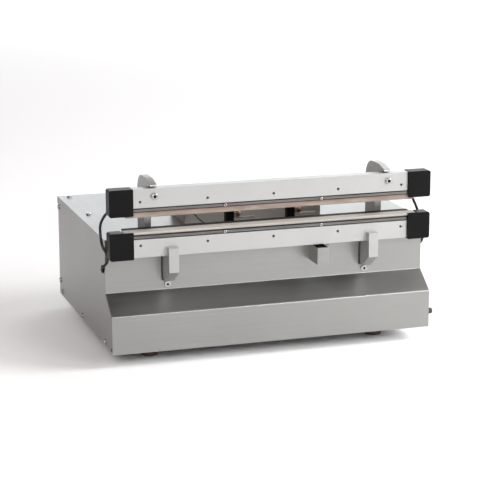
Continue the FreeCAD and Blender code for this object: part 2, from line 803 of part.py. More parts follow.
def make_post(label, side):
    post = Piece(label)
    seat = bar_rear + d.seat_gap
    hook_low = upper_bar_top + d.hook_gap
    hook_front = bar_rear - d.hook_reach
    top = roof + d.post_rise
    outline = (
        (post_front, tray_top),
        (post_front, head_low - d.post_thickness * 1.3),
        (seat + d.post_thickness / 2, head_low),
        (seat, head_low),
        (seat, hook_low),
        (hook_front, hook_low),
        (hook_front, hook_low + d.hook_tip),
        (bar_rear + d.post_thickness, top),
        (post_rear, top),
        (post_rear, tray_top),
    )
    low = side * d.post_spread - d.post_thickness / 2
    high = low + d.post_thickness
    post.pad("side", [outline], low, high)
    post.round(d.post_shoulder, 0, [(post_rear, top)])
    post.round(d.hook_tip * 0.9, 0, [(hook_front, hook_low + d.hook_tip)])
    post.round(
        d.post_thickness, 0, [(post_front, head_low - d.post_thickness * 1.3)]
    )
    post.cut("front", [Ring(side * d.post_spread, jaw_bolt_level, bolt_hole)],
             seat - d.sheet, seat + d.bolt_shank - d.bar_depth + d.sheet)
    holes = [Ring(depth, level, bolt_hole) for depth, level in post_bolt_places]
    post.cut("side", holes, low - d.sheet, high + d.sheet)
    post.done()


bracket_front = guide_depth - d.bracket_length / 2
bracket_middle = tray_top + d.bracket_height - d.bracket_thickness * 2
post_bolt_places = [
    (guide_depth - d.bracket_length / 4, bracket_middle),
    (guide_depth + d.bracket_length / 4, bracket_middle),
    (guide_depth, bridge_low + d.bridge_height / 2),
]


def make_post_brackets():
    brackets = []
    for side in (-1, 1):
        outer = side * (d.post_spread - d.post_thickness / 2)
        leg_edge = outer - side * d.bracket_thickness
        foot_edge = outer - side * (d.bracket_thickness + d.bracket_width)
        depth = (bracket_front, bracket_front + d.bracket_length)
        leg_across = in_order(outer, leg_edge)
        foot_across = in_order(outer, foot_edge)
        leg = box(f"bracket_leg_{side + 1}", leg_across, depth, (tray_top, tray_top + d.bracket_height))
        foot = box(
            f"bracket_foot_{side + 1}", foot_across, depth, (tray_top, tray_top + d.bracket_thickness)
        )
        holes = [
            cylinder(f"bracket_hole_{side + 1}_{number}", "x", place, leg_across[0] - d.sheet,
                     leg_across[1] + d.sheet, bolt_hole)
            for number, place in enumerate(post_bolt_places[:2])
        ]
        whole = fuse(f"bracket_{side + 1}", [leg, foot])
        brackets.append(subtract(f"bracket_body_{side + 1}", whole, holes))
    group("post_brackets", brackets)


def bolt_solid():
    return screw_solid(
        d.bolt_head.value, d.bolt_head_height.value, d.bolt_radius.value,
        d.bolt_shank.value, 6, d.bolt_socket.value,
    )


def make_post_bolts():
    bolt = bolt_solid()
    bolts = []
    for side in (-1, 1):
        across = side * d.post_spread
        bolts.append(placed(bolt, across, bar_front, jaw_bolt_level, (0, -1, 0)))
        outer = side * (d.post_spread + d.post_thickness / 2)
        for depth, level in post_bolt_places:
            bolts.append(placed(bolt, outer, depth, level, (side, 0, 0)))
    feature("post_bolts", Part.makeCompound(bolts))


def make_guide_bridge():
    reach = d.post_spread - d.post_thickness / 2
    depth = (guide_depth - d.bridge_depth / 2, guide_depth + d.bridge_depth / 2)
    body = box("bridge_body", (-reach, reach), depth, (bridge_low, bridge_low + d.bridge_height))
    low = bridge_low - d.sheet
    high = bridge_low + d.bridge_height + d.sheet
    tools = [
        cylinder(f"bridge_hole_{side + 1}", "z", (side * d.guide_spread, guide_depth),
                 low, high, d.guide_radius)
        for side in guide_sides
    ]
    bolt_depth = d.bolt_shank - d.post_thickness + d.sheet
    for side in (-1, 1):
        ends = in_order(side * (reach + d.sheet), side * (reach - bolt_depth))
        tools.append(
            cylinder(f"bridge_thread_{side + 1}", "x", post_bolt_places[2], ends[0], ends[1], bolt_hole)
        )
    keep(subtract("guide_bridge", body, tools))


face_hole_steps = range(-2, 3)


def make_upper_bar():
    bar = Piece("upper_jaw_bar")
    outline = (
        (bar_front, upper_bar_low),
        (bar_front, upper_bar_top),
        (bar_rear, upper_bar_top),
        (bar_rear, upper_core_low),
        (core_front, upper_core_low),
        (core_front, upper_bar_low),
    )
    bar.pad("side", [outline], -d.jaw_half_length, d.jaw_half_length)
    level = upper_bar_low + d.face_hole_rise
    holes = [Ring(d.face_hole_pitch * step, level, d.face_hole_radius) for step in face_hole_steps]
    bar.cut("front", holes, bar_front - d.sheet, bar_front + d.face_hole_depth)
    bolts = [
        Ring(side * d.post_spread, jaw_bolt_level, bolt_hole) for side in (-1, 1)
    ]
    bar.cut("front", bolts, bar_front - d.sheet, bar_rear + d.sheet)
    threads = clamp_screw_rings(upper_clamp_low + d.clamp_height / 2, hole_radius)
    bar.cut("front", threads, core_front - d.sheet, core_front + d.face_hole_depth)
    bar.done()


upper_clamp_low = upper_bar_low - d.clamp_gap - d.clamp_height
lower_clamp_low = lower_bar_top + d.clamp_gap


def clamp_screw_rings(level, radius):
    return [Ring(side * d.clamp_screw_spread, level, radius) for side in (-1, 1)]


def make_clamp_strip(label, low):
    strip = Piece(label)
    strip_rear = core_front - d.tape_thickness * 2
    strip_front = strip_rear - d.clamp_thickness
    outline = rectangle(strip_front, strip_rear, low, low + d.clamp_height)
    strip.pad("side", [outline], -d.jaw_half_length, d.jaw_half_length)
    groove = rectangle(
        strip_front - d.clamp_gap, strip_front + d.clamp_gap,
        low + d.clamp_height * 0.4, low + d.clamp_height * 0.6,
    )
    strip.cut("side", [groove], -d.jaw_half_length - d.sheet, d.jaw_half_length + d.sheet)
    rings = clamp_screw_rings(low + d.clamp_height / 2, hole_radius)
    strip.cut("front", rings, strip_front - d.sheet, strip_rear + d.sheet)
    strip.done()


def make_clamp_screws(label, low):
    screw = screw_solid(
        d.clamp_screw_head.value, d.screw_radius.value * 0.8, d.screw_radius.value,
        d.screw_length.value, 4, d.screw_radius.value * 0.6,
    )
    seat = core_front - d.tape_thickness * 2 - d.clamp_thickness
    level = low + d.clamp_height / 2
    screws = [
        placed(screw, side * d.clamp_screw_spread, seat, level, (0, -1, 0)) for side in (-1, 1)
    ]
    feature(label, Part.makeCompound(screws))


def make_upper_tape():
    """A channel of woven tape that wraps the pad and the heating band from below."""
    tape = Piece("upper_tape")
    wall = d.tape_thickness
    tape_front = core_front - wall
    tape_rear = bar_rear + wall
    top = tape_low + d.tape_height
    outline = (
        (tape_front - wall, top),
        (tape_front - wall, tape_low),
        (tape_rear, tape_low),
        (tape_rear, top),
        (tape_rear - wall, top),
        (tape_rear - wall, tape_low + wall),
        (tape_front, tape_low + wall),
        (tape_front, top),
    )
    reach = d.jaw_half_length + d.tape_overrun
    tape.pad("side", [outline], -reach, reach)
    tape.round(wall * 2, 0, [(tape_front - wall, tape_low), (tape_rear, tape_low)])
    tape.done()


def make_heating_parts():
    reach = d.jaw_half_length + d.tape_overrun
    keep(
        box("upper_insulating_pad", (-reach, reach), (core_front, bar_rear), (pad_low, upper_core_low))
    )
    reach = d.jaw_half_length + d.band_overrun
    middle = (core_front + bar_rear) / 2
    across = (middle - d.band_width / 2, middle + d.band_width / 2)
    keep(
        box("upper_heating_band", (-reach, reach), across, (tape_low + d.tape_thickness, pad_low))
    )


def make_band_clamps():
    """Brass clamps inside the upper end caps, where the band meets its leads."""
    clamps = []
    for side in (-1, 1):
        near = side * (d.jaw_half_length + d.band_overrun + d.clamp_gap)
        far = near + side * d.cap_length / 4
        across = in_order(near, far)
        depth = (core_front, cap_rear - d.cap_wall * 1.5)
        level = (upper_cap_low + d.cap_wall * 1.5, upper_cap_top - d.cap_wall * 2)
        clamps.append(box(f"band_clamp_{side + 1}", across, depth, level))
    group("upper_band_clamps", clamps)


def make_cap(label, side, low, high, notch_low, notch_high, notch_length):
    """A plastic cover over a jaw's end: open towards the bar, with a notch for tape or strip."""
    cap = Piece(label)
    near = side * d.jaw_half_length
    far = side * (d.jaw_half_length + d.cap_length)
    across = in_order(near, far)
    cap.pad("front", [rectangle(across[0], across[1], low, high)], cap_front, cap_rear)
    cap.round(d.cap_round, 1, [(far, low), (far, high)])
    cap.round(d.cap_round / 2, 1, [(near, low), (near, high)])
    inner_far = far - side * d.cap_wall
    inner = in_order(near - side * d.sheet, inner_far)
    hollow = rectangle(inner[0], inner[1], low + d.cap_wall, high - d.cap_wall)
    cap.cut("front", [hollow], cap_front + d.cap_wall, cap_rear - d.cap_wall)
    notch_far = near + side * notch_length
    notch = in_order(near - side * d.sheet, notch_far)
    passage = rectangle(notch[0], notch[1], notch_low, notch_high)
    cap.cut("front", [passage], bar_front - d.seat_gap, cap_rear + d.sheet)
    cap.done()


# Lower jaw and its lift

def make_lower_bar():
    bar = Piece("lower_jaw_bar")
    outline = (
        (bar_front, lower_bar_low),
        (bar_front, lower_bar_top),
        (core_front, lower_bar_top),
        (core_front, lower_core_top),
        (bar_rear, lower_core_top),
        (bar_rear, lower_bar_low),
    )
    bar.pad("side", [outline], -d.jaw_half_length, d.jaw_half_length)
    level = lower_bar_top - d.face_hole_rise
    holes = [Ring(d.face_hole_pitch * step, level, d.face_hole_radius) for step in face_hole_steps]
    bar.cut("front", holes, bar_front - d.sheet, bar_front + d.face_hole_depth)
    bolts = [Ring(side * d.carrier_spread, carrier_bolt_level, bolt_hole) for side in (-1, 1)]
    bar.cut("front", bolts, bar_front - d.sheet, bar_rear + d.sheet)
    threads = clamp_screw_rings(lower_clamp_low + d.clamp_height / 2, hole_radius)
    bar.cut("front", threads, core_front - d.sheet, core_front + d.face_hole_depth)
    bar.done()


carrier_bolt_level = (lower_bar_low + carrier_plate_top) / 2
carriage_front = front + d.carrier_tail
carriage_rear = carriage_front + d.carriage_depth
counterbore = d.carriage_depth - d.bolt_shank + d.bolt_head_height * 2
carriage_bolt_levels = [
    carriage_low + d.carriage_height / 4, carriage_low + d.carriage_height * 3 / 4
]


def make_sealing_strip():
    strip = Piece("lower_sealing_strip")
    low = lower_core_top
    outline = rectangle(bar_front + d.seat_gap, bar_rear + d.sheet / 2, low, seal_top)
    reach = d.jaw_half_length + d.strip_overrun
    strip.pad("side", [outline], -reach, reach)
    strip.round(
        d.strip_height * 0.7, 0, [(bar_front + d.seat_gap, seal_top)]
    )
    strip.done()


def make_rear_shelf():
    """Black angle behind the sealing strip, on which the film rests."""
    shelf = Piece("lower_rear_shelf")
    leg_front = bar_rear
    leg_rear = leg_front + d.rear_shelf_leg_thickness
    leg_top = lower_core_top - d.seat_gap
    leg = rectangle(leg_front, leg_rear, leg_top - d.rear_shelf_leg, leg_top)
    shelf.pad("side", [leg], -d.jaw_half_length + d.sheet, d.jaw_half_length - d.sheet)
    shelf_low = seal_top - d.rear_shelf_height
    bridge = rectangle(leg_rear - d.sheet, leg_rear, leg_top, shelf_low + d.sheet)
    shelf.pad("side", [bridge], -d.jaw_half_length + d.sheet, d.jaw_half_length - d.sheet)
    top = rectangle(leg_rear - d.sheet, leg_rear + d.rear_shelf_depth, shelf_low, seal_top)
    reach = d.jaw_half_length + d.tape_overrun
    shelf.pad("side", [top], -reach, reach)
    shelf.round(d.sheet, 0, [(leg_rear + d.rear_shelf_depth, seal_top)])
    shelf.done()


def make_carrier_arm(label, side):
    arm = Piece(label)
    plate_low = carrier_plate_top - d.carrier_plate_height
    outline = (
        (arm_front, plate_low),
        (arm_front, carrier_plate_top),
        (bar_front, carrier_plate_top),
        (bar_front, lower_bar_low),
        (upper_face - d.carrier_plate / 2, lower_bar_low),
        (upper_inside + d.carrier_plate / 2, carriage_top),
        (carriage_front, carriage_top),
        (carriage_front, carriage_low),
        (upper_inside + d.carrier_plate, carriage_low),
        (upper_inside + d.sheet, slot_low + d.slot_low_gap),
        (upper_face - d.carrier_plate, slot_low + d.slot_low_gap),
    )
    middle = side * d.carrier_spread
    low = middle - d.carrier_width / 2
    high = middle + d.carrier_width / 2
    arm.pad("side", [outline], low, high)
    arm.round(d.sheet / 2, 0, [(arm_front, plate_low), (arm_front, carrier_plate_top)])
    arm.cut("front", [Ring(middle, carrier_bolt_level, bolt_hole)],
            bar_rear - d.bolt_shank - d.sheet / 2, bar_front + d.sheet / 2)
    threads = [Ring(middle, level, bolt_hole) for level in carriage_bolt_levels]
    arm.cut("front", threads, carriage_rear - counterbore - d.bolt_shank - d.sheet / 2,
            carriage_front + d.sheet / 2)
    arm.done()


def make_carriage_beam():
    beam = Piece("carriage_beam")
    reach = d.carrier_spread + d.carriage_overrun
    outline = rectangle(-reach, reach, carriage_low, carriage_top)
    beam.pad("front", [outline], carriage_front, carriage_rear)
    bolts = [
        (side * d.carrier_spread, level) for side in (-1, 1) for level in carriage_bolt_levels
    ]
    beam.cut("front", [Ring(x, z, bolt_hole) for x, z in bolts],
             carriage_front - d.sheet, carriage_rear + d.sheet)
    beam.cut("front", [Ring(x, z, d.bolt_head + d.slot_gap / 2) for x, z in bolts],
             carriage_rear - counterbore, carriage_rear + d.sheet)
    bushes = [Ring(side * d.guide_spread, guide_depth, d.bush_radius) for side in guide_sides]
    beam.cut("plan", bushes, carriage_low - d.sheet, carriage_top + d.sheet)
    beam.done()


def make_carrier_bolts():
    bolt = bolt_solid()
    bolts = []
    for side in (-1, 1):
        across = side * d.carrier_spread
        bolts.append(placed(bolt, across, bar_rear, carrier_bolt_level, (0, 1, 0)))
        for level in carriage_bolt_levels:
            bolts.append(placed(bolt, across, carriage_rear - counterbore, level, (0, 1, 0)))
    feature("carrier_bolts", Part.makeCompound(bolts))


def make_guides():
    bushes = []
    shafts = []
    for side in guide_sides:
        place = (side * d.guide_spread, guide_depth)
        tube = cylinder(f"bush_tube_{side + 1}", "z", place, carriage_low, carriage_top, d.bush_radius)
        bore = cylinder(f"bush_bore_{side + 1}", "z", place, carriage_low - d.sheet,
                        carriage_top + d.sheet, d.guide_radius + d.guide_gap)
        bushes.append(subtract(f"bush_{side + 1}", tube, [bore]))
        shaft = cylinder(f"shaft_rod_{side + 1}", "z", place, tray_top,
                         bridge_low + d.bridge_height, d.guide_radius)
        flange = cylinder(f"shaft_foot_{side + 1}", "z", place, tray_top,
                          tray_top + d.guide_flange_height, d.guide_flange)
        shafts.append(fuse(f"shaft_{side + 1}", [shaft, flange]))
    group("guide_bushes", bushes)
    group("guide_shafts", shafts)


def make_return_springs():
    """Coil springs round the guide shafts, each a chain of quarter-turn arcs."""
    low = (carriage_top + d.spring_wire * 1.5).value
    high = (bridge_low - d.spring_wire * 1.5).value
    full_turn = 2 * math.pi * d.spring_turns.value
    quarter = math.pi / 2
    springs = []
    for side in guide_sides:
        middle = (side * d.guide_spread).value

        def on_coil(angle):
            across = middle + d.spring_radius.value * math.cos(angle)
            depth = guide_depth.value + d.spring_radius.value * math.sin(angle)
            return FreeCAD.Vector(across, depth, low + (high - low) * angle / full_turn)

        edges = []
        for step in range(round(full_turn / quarter)):
            start = step * quarter
            arc = Part.Arc(on_coil(start), on_coil(start + quarter / 2), on_coil(start + quarter))
            edges.append(arc.toShape())
        tangent = edges[0].tangentAt(edges[0].FirstParameter)
        ring = Part.Wire(Part.Circle(on_coil(0), tangent, d.spring_wire.value).toShape())
        springs.append(Part.Wire(edges).makePipeShell([ring], True, True))
    feature("return_springs", Part.makeCompound(springs))


def make_solenoids():
    yokes = []
    coils = []
    plungers = []
    yoke_top = tray_top + d.yoke_height
    for side in (-1, 1):
        middle = side * d.solenoid_spread
        place = (middle, guide_depth)
        across = (middle - d.yoke_width / 2, middle + d.yoke_width / 2)
        depth = (guide_depth - d.yoke_depth / 2, guide_depth + d.yoke_depth / 2)
        frame = box(f"yoke_block_{side + 1}", across, depth, (tray_top, yoke_top))
        window = box(
            f"yoke_window_{side + 1}",
            (across[0] + d.yoke_plate, across[1] - d.yoke_plate),
            (depth[0] - d.sheet, depth[1] + d.sheet),
            (tray_top + d.yoke_plate, yoke_top - d.yoke_plate),
        )
        hole = cylinder(f"yoke_hole_{side + 1}", "z", place, yoke_top - d.yoke_plate * 2,
                        yoke_top + d.sheet, d.plunger_radius + d.plunger_gap * 3)
        yokes.append(subtract(f"yoke_{side + 1}", frame, [window, hole]))
        coil_low = tray_top + d.yoke_plate + d.coil_gap
        coil_high = yoke_top - d.yoke_plate - d.coil_gap
        winding = cylinder(f"coil_body_{side + 1}", "z", place, coil_low, coil_high, d.coil_radius)
        bore = cylinder(f"coil_bore_{side + 1}", "z", place, coil_low - d.sheet,
                        coil_high + d.sheet, d.plunger_radius + d.plunger_gap)
        coils.append(subtract(f"coil_{side + 1}", winding, [bore]))
        plungers.append(
            cylinder(f"plunger_{side + 1}", "z", place, tray_top + d.plunger_start, carriage_low,
                     d.plunger_radius)
        )
    group("solenoid_yokes", yokes)
    group("solenoid_coils", coils)
    group("solenoid_plungers", plungers)


def make_trip_parts():
    depth = (bar_front + bar_rear) / 2
    keep(
        cylinder("trip_rod", "z", (d.rod_spread, depth), lower_bar_low - d.rod_reach, lower_bar_low,
                 d.rod_radius)
    )
    hood_top = lower_bar_low - d.hood_gap
    hood_low = hood_top - d.hood_height
    hood = Piece("trip_hood")
    across = (d.rod_spread - d.hood_width / 2, d.rod_spread + d.hood_width / 2)
    outer = rectangle(across[0], across[1], arm_front, upper_face)
    inner = rectangle(across[0] + d.hood_wall, across[1] - d.hood_wall, arm_front + d.hood_wall,
                      upper_face + d.sheet)
    hood.pad("plan", [outer], hood_low, hood_top)
    hood.cut("plan", [inner], hood_low + d.hood_wall, hood_top + d.sheet)
    hood.round(d.hood_wall * 0.8, 2, [(across[0], arm_front), (across[1], arm_front)])
    hood.done()
    keep(
        box("position_sensor",
            (d.rod_spread - d.sensor_width / 2, d.rod_spread + d.sensor_width / 2),
            (upper_face - d.sensor_depth, upper_face),
            (hood_low + d.hood_wall * 2, hood_low + d.hood_wall * 2 + d.sensor_height))
    )


# Controls on the top cover

def make_console():
    hood = Piece("control_console")
    outline = rectangle(console_front, console_rear, roof, console_top)
    hood.pad("side", [outline], -d.console_half, d.console_half)
    hood.round(d.bend_radius, 0, [(console_front, console_top), (console_rear, console_top)])
    inner = rectangle(console_front + d.sheet, console_rear - d.sheet, roof - d.sheet,
                      console_top - d.sheet)
    hood.cut("side", [inner], -d.console_half + d.sheet, d.console_half - d.sheet)
    rocker_half = (d.rocker_width / 2 + d.rocker_frame / 2, d.rocker_length / 2 + d.rocker_frame / 2)
    openings = [
        Ring(d.knob_spread, console_middle, d.spindle_radius + d.control_gap),
        Ring(0, console_middle, d.lamp_radius - d.sheet),
        rectangle(-d.rocker_spread - rocker_half[0], -d.rocker_spread + rocker_half[0],
                  console_middle - rocker_half[1], console_middle + rocker_half[1]),
    ]
    hood.cut("plan", openings, console_top - d.sheet * 2, console_top + d.sheet)
    hood.done()


def make_controls():
    place = (d.knob_spread, console_middle)
    knob_low = console_top + d.control_gap
    skirt = cone("knob_skirt", "z", place, knob_low, knob_low + d.knob_height, d.knob_radius,
                 d.knob_radius * 0.86)
    spindle = cylinder("knob_spindle", "z", place, console_top - d.knob_height, knob_low + d.sheet,
                       d.spindle_radius)
    pointer = box("knob_pointer", (d.knob_spread - d.sheet / 2, d.knob_spread + d.sheet / 2),
                  (console_middle - d.knob_radius, console_middle),
                  (knob_low + d.knob_height - d.sheet, knob_low + d.knob_height + d.sheet / 2))
    keep(fuse("time_knob", [skirt, spindle, pointer]))
    lamp = cylinder("lamp_barrel", "z", (0, console_middle),
                    console_top - d.knob_height, console_top + d.sheet, d.lamp_radius - d.sheet)
    lens = cone("lamp_lens", "z", (0, console_middle), console_top,
                console_top + d.lamp_radius * 0.8, d.lamp_radius, d.lamp_radius * 0.6)
    keep(fuse("power_lamp", [lamp, lens]))


def make_rocker():
    """The power switch: a rim and housing in the console, and a rocker on a pin through it."""
    frame = Piece("rocker_housing")
    middle = -d.rocker_spread
    across = d.rocker_width / 2
    along = d.rocker_length / 2
    rim = d.rocker_frame
    rim_outline = rectangle(middle - across - rim, middle + across + rim,
                            console_middle - along - rim, console_middle + along + rim)
    frame.pad("plan", [rim_outline], console_top, console_top + d.sheet)
    block = rectangle(middle - across - rim / 2, middle + across + rim / 2,
                      console_middle - along - rim / 2, console_middle + along + rim / 2)
    frame.pad("plan", [block], console_top - d.knob_height * 1.6, console_top)
    gap = d.control_gap
    well = rectangle(middle - across - gap, middle + across + gap,
                     console_middle - along - gap, console_middle + along + gap)
    frame.cut("plan", [well], console_top - d.knob_height, console_top + d.sheet * 2)
    frame.done()
    rocker = Piece("power_rocker")
    crest = console_top + d.rocker_frame + d.sheet
    waist = console_top + d.rocker_frame
    outline = (
        (console_middle - along, crest),
        (console_middle, waist),
        (console_middle + along, crest),
        (console_middle + along * 0.8, console_top - d.rocker_frame),
        (console_middle, console_top - d.rocker_frame * 2),
        (console_middle - along * 0.8, console_top - d.rocker_frame),
    )
    rocker.pad("side", [outline], middle - across, middle + across)
    body = rocker.done()
    pivot = FreeCAD.Vector(middle.value, console_middle.value, console_top.value)
    turn = FreeCAD.Rotation(FreeCAD.Vector(1, 0, 0), d.rocker_throw.value / 2)
    body.Placement = FreeCAD.Placement(FreeCAD.Vector(), turn, pivot)


def make_film_switches():
    """Two switch blocks in front of the console, each with a sprung lever that the film pushes."""
    blocks = []
    for number, side in enumerate((-1, 1)):
        middle = side * d.stop_spread
        across = (middle - d.stop_width / 2, middle + d.stop_width / 2)
        depth = (front + d.stop_front, front + d.stop_front + d.stop_depth)
        blocks.append(box(f"switch_block_{number}", across, depth, (roof, roof + d.stop_height)))
    group("film_switches", blocks)
    for name, side in (("left", -1), ("right", 1)):
        lever = Piece(f"film_lever_{name}")
        middle = side * d.stop_spread
        start = middle + d.stop_width / 2 + d.lever_gap
        top = roof + d.stop_height - d.lever_drop
        low = top - d.lever_reach
        hub = start + d.lever_hub
        tip = start + d.lever_length
        outline = (
            (start, top - d.lever_hub),
            (start, top),
            (hub, top),
            (hub, top - d.lever_hub),
            (hub, low + d.lever_arm),
            (tip, low + d.lever_arm),
            (tip, low),
            (start + d.lever_hub / 2, low),
        )
        depth = front + d.stop_front + d.stop_depth / 2
        lever.pad("front", [outline], depth - d.lever_depth / 2, depth + d.lever_depth / 2)
        lever.done()


# Electrical parts inside and at the rear

def make_transformer():
    middle = d.transformer_spread
    depth = front + d.transformer_depth
    top = tray_top + d.core_height
    across = (middle - d.core_width / 2, middle + d.core_width / 2)
    along = (depth - d.core_depth / 2, depth + d.core_depth / 2)
    block = box("core_block", across, along, (tray_top, top))
    centre_leg = d.core_leg
    open_depth = (along[0] - d.sheet, along[1] + d.sheet)
    open_level = (tray_top + d.core_leg, top - d.core_leg)
    left = box("core_window_left", (across[0] + d.core_leg, middle - centre_leg), open_depth, open_level)
    right = box("core_window_right", (middle + centre_leg, across[1] - d.core_leg), open_depth,
                open_level)
    keep(subtract("transformer_core", block, [left, right]))
    gap = d.control_gap
    winding = box(
        "winding_block",
        (across[0] + d.core_leg + gap, across[1] - d.core_leg - gap),
        (along[0] - d.winding_bulge, along[1] + d.winding_bulge),
        (open_level[0] + gap, open_level[1] - gap),
    )
    passage = box("winding_passage", (middle - centre_leg - gap, middle + centre_leg + gap),
                  (along[0] - gap, along[1] + gap), (open_level[0] - gap, open_level[1] + gap))
    keep(subtract("transformer_winding", winding, [passage]))


def make_control_board():
    middle = -d.board_spread
    depth = front + d.transformer_depth
    across = (middle - d.board_length / 2, middle + d.board_length / 2)
    along = (depth - d.board_depth / 2, depth + d.board_depth / 2)
    low = tray_top + d.board_lift
    top = low + d.board_thickness
    plate = box("board_plate", across, along, (low, top))
    inset = d.spacer_radius * 2
    corners = [
        (x, y)
        for x in (across[0] + inset, across[1] - inset)
        for y in (along[0] + inset, along[1] - inset)
    ]
    group("board_spacers", [
        cylinder(f"spacer_{number}", "z", corner, tray_top, low, d.spacer_radius)
        for number, corner in enumerate(corners)
    ])
    relay = d.board_depth / 5
    parts = [plate]
    for number in range(3):
        start = across[0] + inset * 2 + relay * 1.3 * number
        parts.append(
            box(f"relay_{number}", (start, start + relay), (depth, depth + relay), (top, top + relay))
        )
    for number in range(2):
        parts.append(
            cylinder(f"capacitor_{number}", "z",
                     (across[1] - inset * 3, depth - relay * (number + 0.5)), top,
                     top + relay * 1.4, relay * 0.4)
        )
    keep(fuse("control_board", parts))


def make_rear_fittings():
    across = -d.gland_spread
    inside = rear - d.sheet
    outside = rear + d.rear_proud
    shank_radius = d.gland_radius - d.sheet
    neck = cylinder("gland_neck", "y", (across, fitting_level), inside - d.gland_inside,
                    rear, shank_radius - d.seat_gap)
    dome = cone("gland_dome", "y", (across, fitting_level), rear, outside, d.gland_radius,
                d.gland_radius * 0.75)
    bore = cylinder("gland_passage", "y", (across, fitting_level),
                    inside - d.gland_inside - d.sheet, outside + d.sheet, d.gland_bore)
    keep(subtract("cord_gland", fuse("gland_body", [neck, dome]), [bore]))
    across = across + d.fitting_pitch
    neck = cylinder("fuse_neck", "y", (across, fitting_level), inside - d.gland_inside * 2,
                    rear, d.fuse_radius - d.sheet - d.seat_gap)
    rim = cylinder("fuse_cap", "y", (across, fitting_level), rear, outside, d.fuse_radius)
    keep(fuse("fuse_holder", [neck, rim]))


def make_small_fittings():
    screws = []
    screw = screw_solid(
        d.slot_screw_head.value, d.bolt_head_height.value * 0.7, d.bolt_radius.value,
        d.bolt_head_height.value * 1.2, 6, d.bolt_socket.value * 0.8,
    )
    for side in (-1, 1):
        screws.append(
            placed(screw, side * d.carrier_spread, upper_face, slot_screw_level, (0, -1, 0))
        )
    feature("slot_screws", Part.makeCompound(screws))
    ball_radius = ((d.plug_radius * d.plug_radius) / d.plug_height + d.plug_height).value / 2
    ball = Part.makeSphere(ball_radius, FreeCAD.Vector(0, 0, d.plug_height.value - ball_radius))
    dome = ball.common(
        Part.makeCylinder(d.plug_radius.value, ball_radius * 2)
    )
    stem = Part.makeCylinder(
        (d.screw_radius - d.screw_gap).value, d.screw_length.value,
        FreeCAD.Vector(0, 0, -d.screw_length.value),
    )
    plug = dome.fuse(stem).removeSplitter()
    feature(
        "side_plug", placed(plug, half, front + d.plug_depth, base + d.plug_level, (1, 0, 0))
    )
    grommets = []
    for side in (-1, 1):
        place = (grommet_depth, grommet_level)
        inner, face, rim = (side * inner_half, side * half, side * (half + d.sheet))
        lip = cylinder(f"grommet_rim_{side + 1}", "x", place, *in_order(face, rim), d.grommet_radius)
        neck = cylinder(f"grommet_neck_{side + 1}", "x", place, *in_order(inner, face),
                        d.grommet_bore + d.sheet / 2)
        ends = in_order(inner - side * d.sheet, rim + side * d.sheet)
        bore = cylinder(f"grommet_bore_{side + 1}", "x", place, *ends, d.grommet_bore)
        whole = fuse(f"grommet_whole_{side + 1}", [lip, neck])
        grommets.append(subtract(f"grommet_{side + 1}", whole, [bore]))
    group("lead_grommets", grommets)


def lead_points():
    """The two leads' routes: across, depth and rise over the top cover, from cap to grommet."""
    side = half.value
    out = side + d.lead_standoff.value
    cap_end = (d.jaw_half_length + d.cap_length).value
    cap_edge = (cap_rear - front).value
    left = (
        (8 - cap_end, cap_edge, 44.4), (8 - cap_end, 33, 44.4), (2.5 - side, 43, 36.4),
        (-out, 49, 21.4), (-out, 47, 4.4), (-out, 36, -9.6), (2.5 - side, 31.5, -20.6),
        (3 - side, 31.5, -31.1), (-out, 36, -40.6), (-out, 45, -45.6), (-side, 53, -47),
        (6.5 - side, 58.5, -47.6),
    )
    right = (
        (cap_end - 20, cap_edge, 43.9), (cap_end - 20, 33, 43.9), (cap_end - 16, 35.5, 31.4),
        (side - 8.5, 35, 15.9), (side - 3.5, 34, -0.6), (side - 2.5, 33, -16.6),
        (out, 37, -30.6), (out, 45.5, -41.6), (side, 53, -46), (side - 6.5, 58.5, -47.6),
    )
    return {"left": left, "right": right}


def tube_along(points, radius):
    """A round tube of straight runs joined by tangent arcs, and the arcs' radii."""
    start = points[0]
    edges = []
    radii = []
    for before, corner, after in zip(points, points[1:], points[2:]):
        back = before - corner
        ahead = after - corner
        turn = math.pi - back.getAngle(ahead)
        cut = 0.45 * min(back.Length, ahead.Length)
        radii.append(cut / math.tan(turn / 2))
        first = corner + back.normalize() * cut
        last = corner + ahead.normalize() * cut
        inward = (back + ahead).normalize()
        centre = corner + inward * math.hypot(cut, radii[-1])
        middle = centre - inward * radii[-1]
        edges.append(Part.LineSegment(start, first).toShape())
        edges.append(Part.Arc(first, middle, last).toShape())
        start = last
    edges.append(Part.LineSegment(start, points[-1]).toShape())
    path = Part.Wire(edges)
    ring = Part.Wire(Part.Circle(points[0], points[1] - points[0], radius).toShape())
    tube = path.makePipeShell([ring], True, True)
    expected = math.pi * radius ** 2 * path.Length
    if abs(tube.Volume - expected) > 0.02 * expected:
        raise RuntimeError("a lead's volume doesn't match its length")
    return tube, radii


def make_leads():
    tubes = []
    for name, route in lead_points().items():
        points = [
            FreeCAD.Vector(x, front.value + depth, roof.value + rise) for x, depth, rise in route
        ]
        tube, radii = tube_along(points, d.lead_radius.value)
        print(f"{name} lead arcs", [round(radius, 1) for radius in radii])
        tubes.append(tube)
    feature("upper_leads", Part.makeCompound(tubes))


